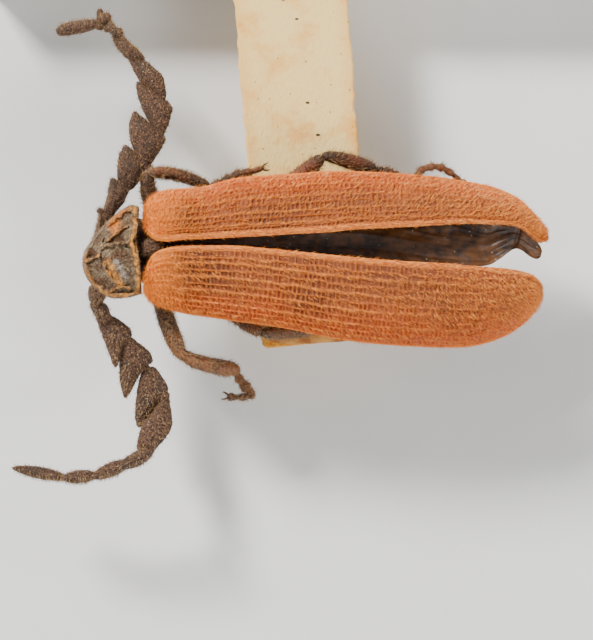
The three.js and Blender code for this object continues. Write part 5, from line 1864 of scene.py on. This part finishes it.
def down(name, roots, normals, lean, spots, length, thick, material, seed):
    """One piece of hairs: their roots, the skin's normals, their lean and their map spots."""
    rng = np.random.default_rng(seed)
    count = len(roots)
    normals = normals / np.linalg.norm(normals, axis=1)[:, None]
    way = lean + rng.normal(0, 0.28, (count, 3))
    way -= normals * np.sum(way * normals, 1)[:, None]
    way /= np.linalg.norm(way, axis=1)[:, None] + 1e-9
    rise = rng.uniform(0.25, 0.75, count)[:, None]
    up = normals * rise + way
    up /= np.linalg.norm(up, axis=1)[:, None]
    side = np.cross(up, normals)
    side /= np.linalg.norm(side, axis=1)[:, None] + 1e-9
    bend = np.cross(side, up)
    shorter_at_rear = np.clip(8 - 7.4 * spots[:, :1, None], 0.6, 1)
    size = rng.uniform(0.6, 1.25, count)[:, None, None] * length * shorter_at_rear
    girth = thick / HAIR_ROOT / length
    curl = HAIR_BEND * HAIR[:, 2] ** 2 * (1 - girth)
    out = (HAIR[:, 0] * girth - curl)[None, :, None] * bend[:, None]
    over = (HAIR[:, 1] * girth)[None, :, None] * side[:, None]
    along = HAIR[None, :, 2:3] * up[:, None]
    points = roots[:, None] + (out + over + along) * size
    faces = (HAIR_FACES[None] + (np.arange(count) * len(HAIR))[:, None, None]).reshape(-1, 3)
    mesh = bpy.data.meshes.new(name)
    mesh.from_pydata(points.reshape(-1, 3).tolist(), [], faces.tolist())
    patch = mesh.uv_layers.new(name="OFBake")
    local = (HAIR[:, :2] - HAIR[:, :2].min(0)) / np.ptp(HAIR[:, :2], axis=0)
    local[:, 1] = HAIR[:, 2]
    spots = np.clip(spots, 0, 1) * 0.996
    around = spots[:, None] + 0.003 * local[None]
    patch.data.foreach_set("uv", around.reshape(-1, 2)[faces.ravel()].astype(np.float32).ravel())
    piece = bpy.data.objects.new(name, mesh)
    bpy.context.scene.collection.objects.link(piece)
    hold(piece, "tint", np.repeat(rng.uniform(0, 1, count), len(HAIR)))
    return settle(piece, name, [], material, 60)


# %% Finish of the hairs
def hair_skin(name, dark, light):
    skin = Finish(name, Roughness=0.5, Specular_IOR_Level=0.35)
    tint = skin.held("tint")
    fine = skin.noise(skin.place(), 12.0)
    return skin.wear(
        Base_Color=skin.mix(dark, light, tint * 0.8 + fine * 0.2),
        Roughness=fine.ramp(0.3, 0.7, 0.4, 0.6),
    )


case_hair = hair_skin("salmon_hair", tone(200, 92, 20), tone(255, 176, 74))
body_hair = hair_skin("golden_hair", tone(90, 64, 44), tone(190, 150, 100))

# %% Hairs of the wing cases
CASE_HAIR_LONG, CASE_HAIR_THICK = 0.105, 0.006
HAIR_THICK = 0.006


def case_down(name, skin, seed):
    """Hairs of one wing case, thickest on its ribs and toward the seam."""
    points, normals, u, t, strong, other = skin
    rng = np.random.default_rng(seed)
    chance = (0.1 + strong ** 0.7 + 0.5 * other) * (np.cos(math.pi / 2 * t) * 0.6 + 0.4)
    chance *= np.clip(np.minimum(u * 40, (1 - u) * 60), 0.1, 1)
    chosen = rng.choice(len(points), size=6500, p=chance / chance.sum())
    spread = rng.normal(0, 0.006, (len(chosen), 3))
    outer = np.sign(points[np.argmax(t), 1] - points[np.argmin(t), 1])
    slant = (0.2 + 0.7 * (1 - np.maximum(strong, other)[chosen])) * outer
    lean = np.column_stack([np.full(len(chosen), 1.0), slant, np.zeros(len(chosen))])
    spots = np.column_stack([u[chosen], t[chosen]])
    roots = points[chosen] + spread + normals[chosen] * 0.01
    return down(name, roots, normals[chosen], lean, spots,
                CASE_HAIR_LONG, CASE_HAIR_THICK, case_hair, seed)


case_down("down_on_left_case", left_skin, 21)
case_down("down_on_right_case", right_skin, 22)


# %% Hairs of the body, feelers and legs
def skin_down(name, skins, count, length, lean, seed, thick=HAIR_THICK):
    """Scatters roots over finished skins by area, and lays the hairs along the lean."""
    rng = np.random.default_rng(seed)
    roots, normals, spots = [], [], []
    areas = [sum(face.area for face in piece.data.polygons) for piece in skins]
    for piece, share in zip(skins, areas):
        size = read(piece.data.polygons, "area", 1)
        middle = read(piece.data.polygons, "center") / MM - np.array(CARD_ORIGIN)
        normal = read(piece.data.polygons, "normal")
        order = np.lexsort(np.round(middle, 4).T)  # because the edit tools may shuffle faces
        size, middle, normal = size[order], middle[order], normal[order]
        here = max(1, int(count * share / sum(areas) / (1)))
        chosen = rng.choice(len(size), size=here, p=size / size.sum())
        low, high = middle.min(0), middle.max(0)
        flat = (middle[chosen, :2] - low[:2]) / (high - low)[:2]
        flat[:, 1] = flat[:, 1] * 0.5 + np.where(normal[chosen, 2] > 0, 0, 0.5)
        roots.append(middle[chosen])
        normals.append(normal[chosen])
        spots.append(flat)
    roots, normals, spots = (np.concatenate(k) for k in (roots, normals, spots))
    way = np.tile(np.array(lean, float), (len(roots), 1))
    return down(name, roots, normals, way, spots, length, thick, body_hair, seed)


# %% Scatter them
skin_down("down_on_shield", [shield], 1500, 0.06, (1, 0, 0), 31, thick=0.0045)
for side, way in (("left", (-0.1, -1, 0)), ("right", (-0.1, 1, 0))):
    for length in ("base", "middle", "tip"):
        skins = [made[f"feeler_{side}_{length}"]]
        skin_down(f"down_on_feeler_{side}_{length}", skins, 1500, 0.07, way, 41)
for leg in LEGS:
    skins = [made[f"leg_{leg}_{length}_rounded"] for length in ("femur", "tibia", "tarsus")]
    out = np.sign(LEGS[leg]["femur"][0][1])
    skin_down(f"down_on_leg_{leg}", skins, 1800, 0.09, (0.7, 0.6 * out, -0.2), 51)
skins = [made["thorax_body"], made["abdomen_body"], made["prothorax_body"]]
skin_down("down_on_body", skins, 2600, 0.1, (1, 0, 0), 61)
skin_down("down_on_head", [made["head_body"]], 500, 0.08, (-1, 0, 0), 62)
skin_down("down_on_scutellum", [made["scutellum_tongue"]], 260, 0.07, (1, 0, 0), 63)
total = sum(len(piece.data.polygons) for piece in made.values())
print("faces in all", total)
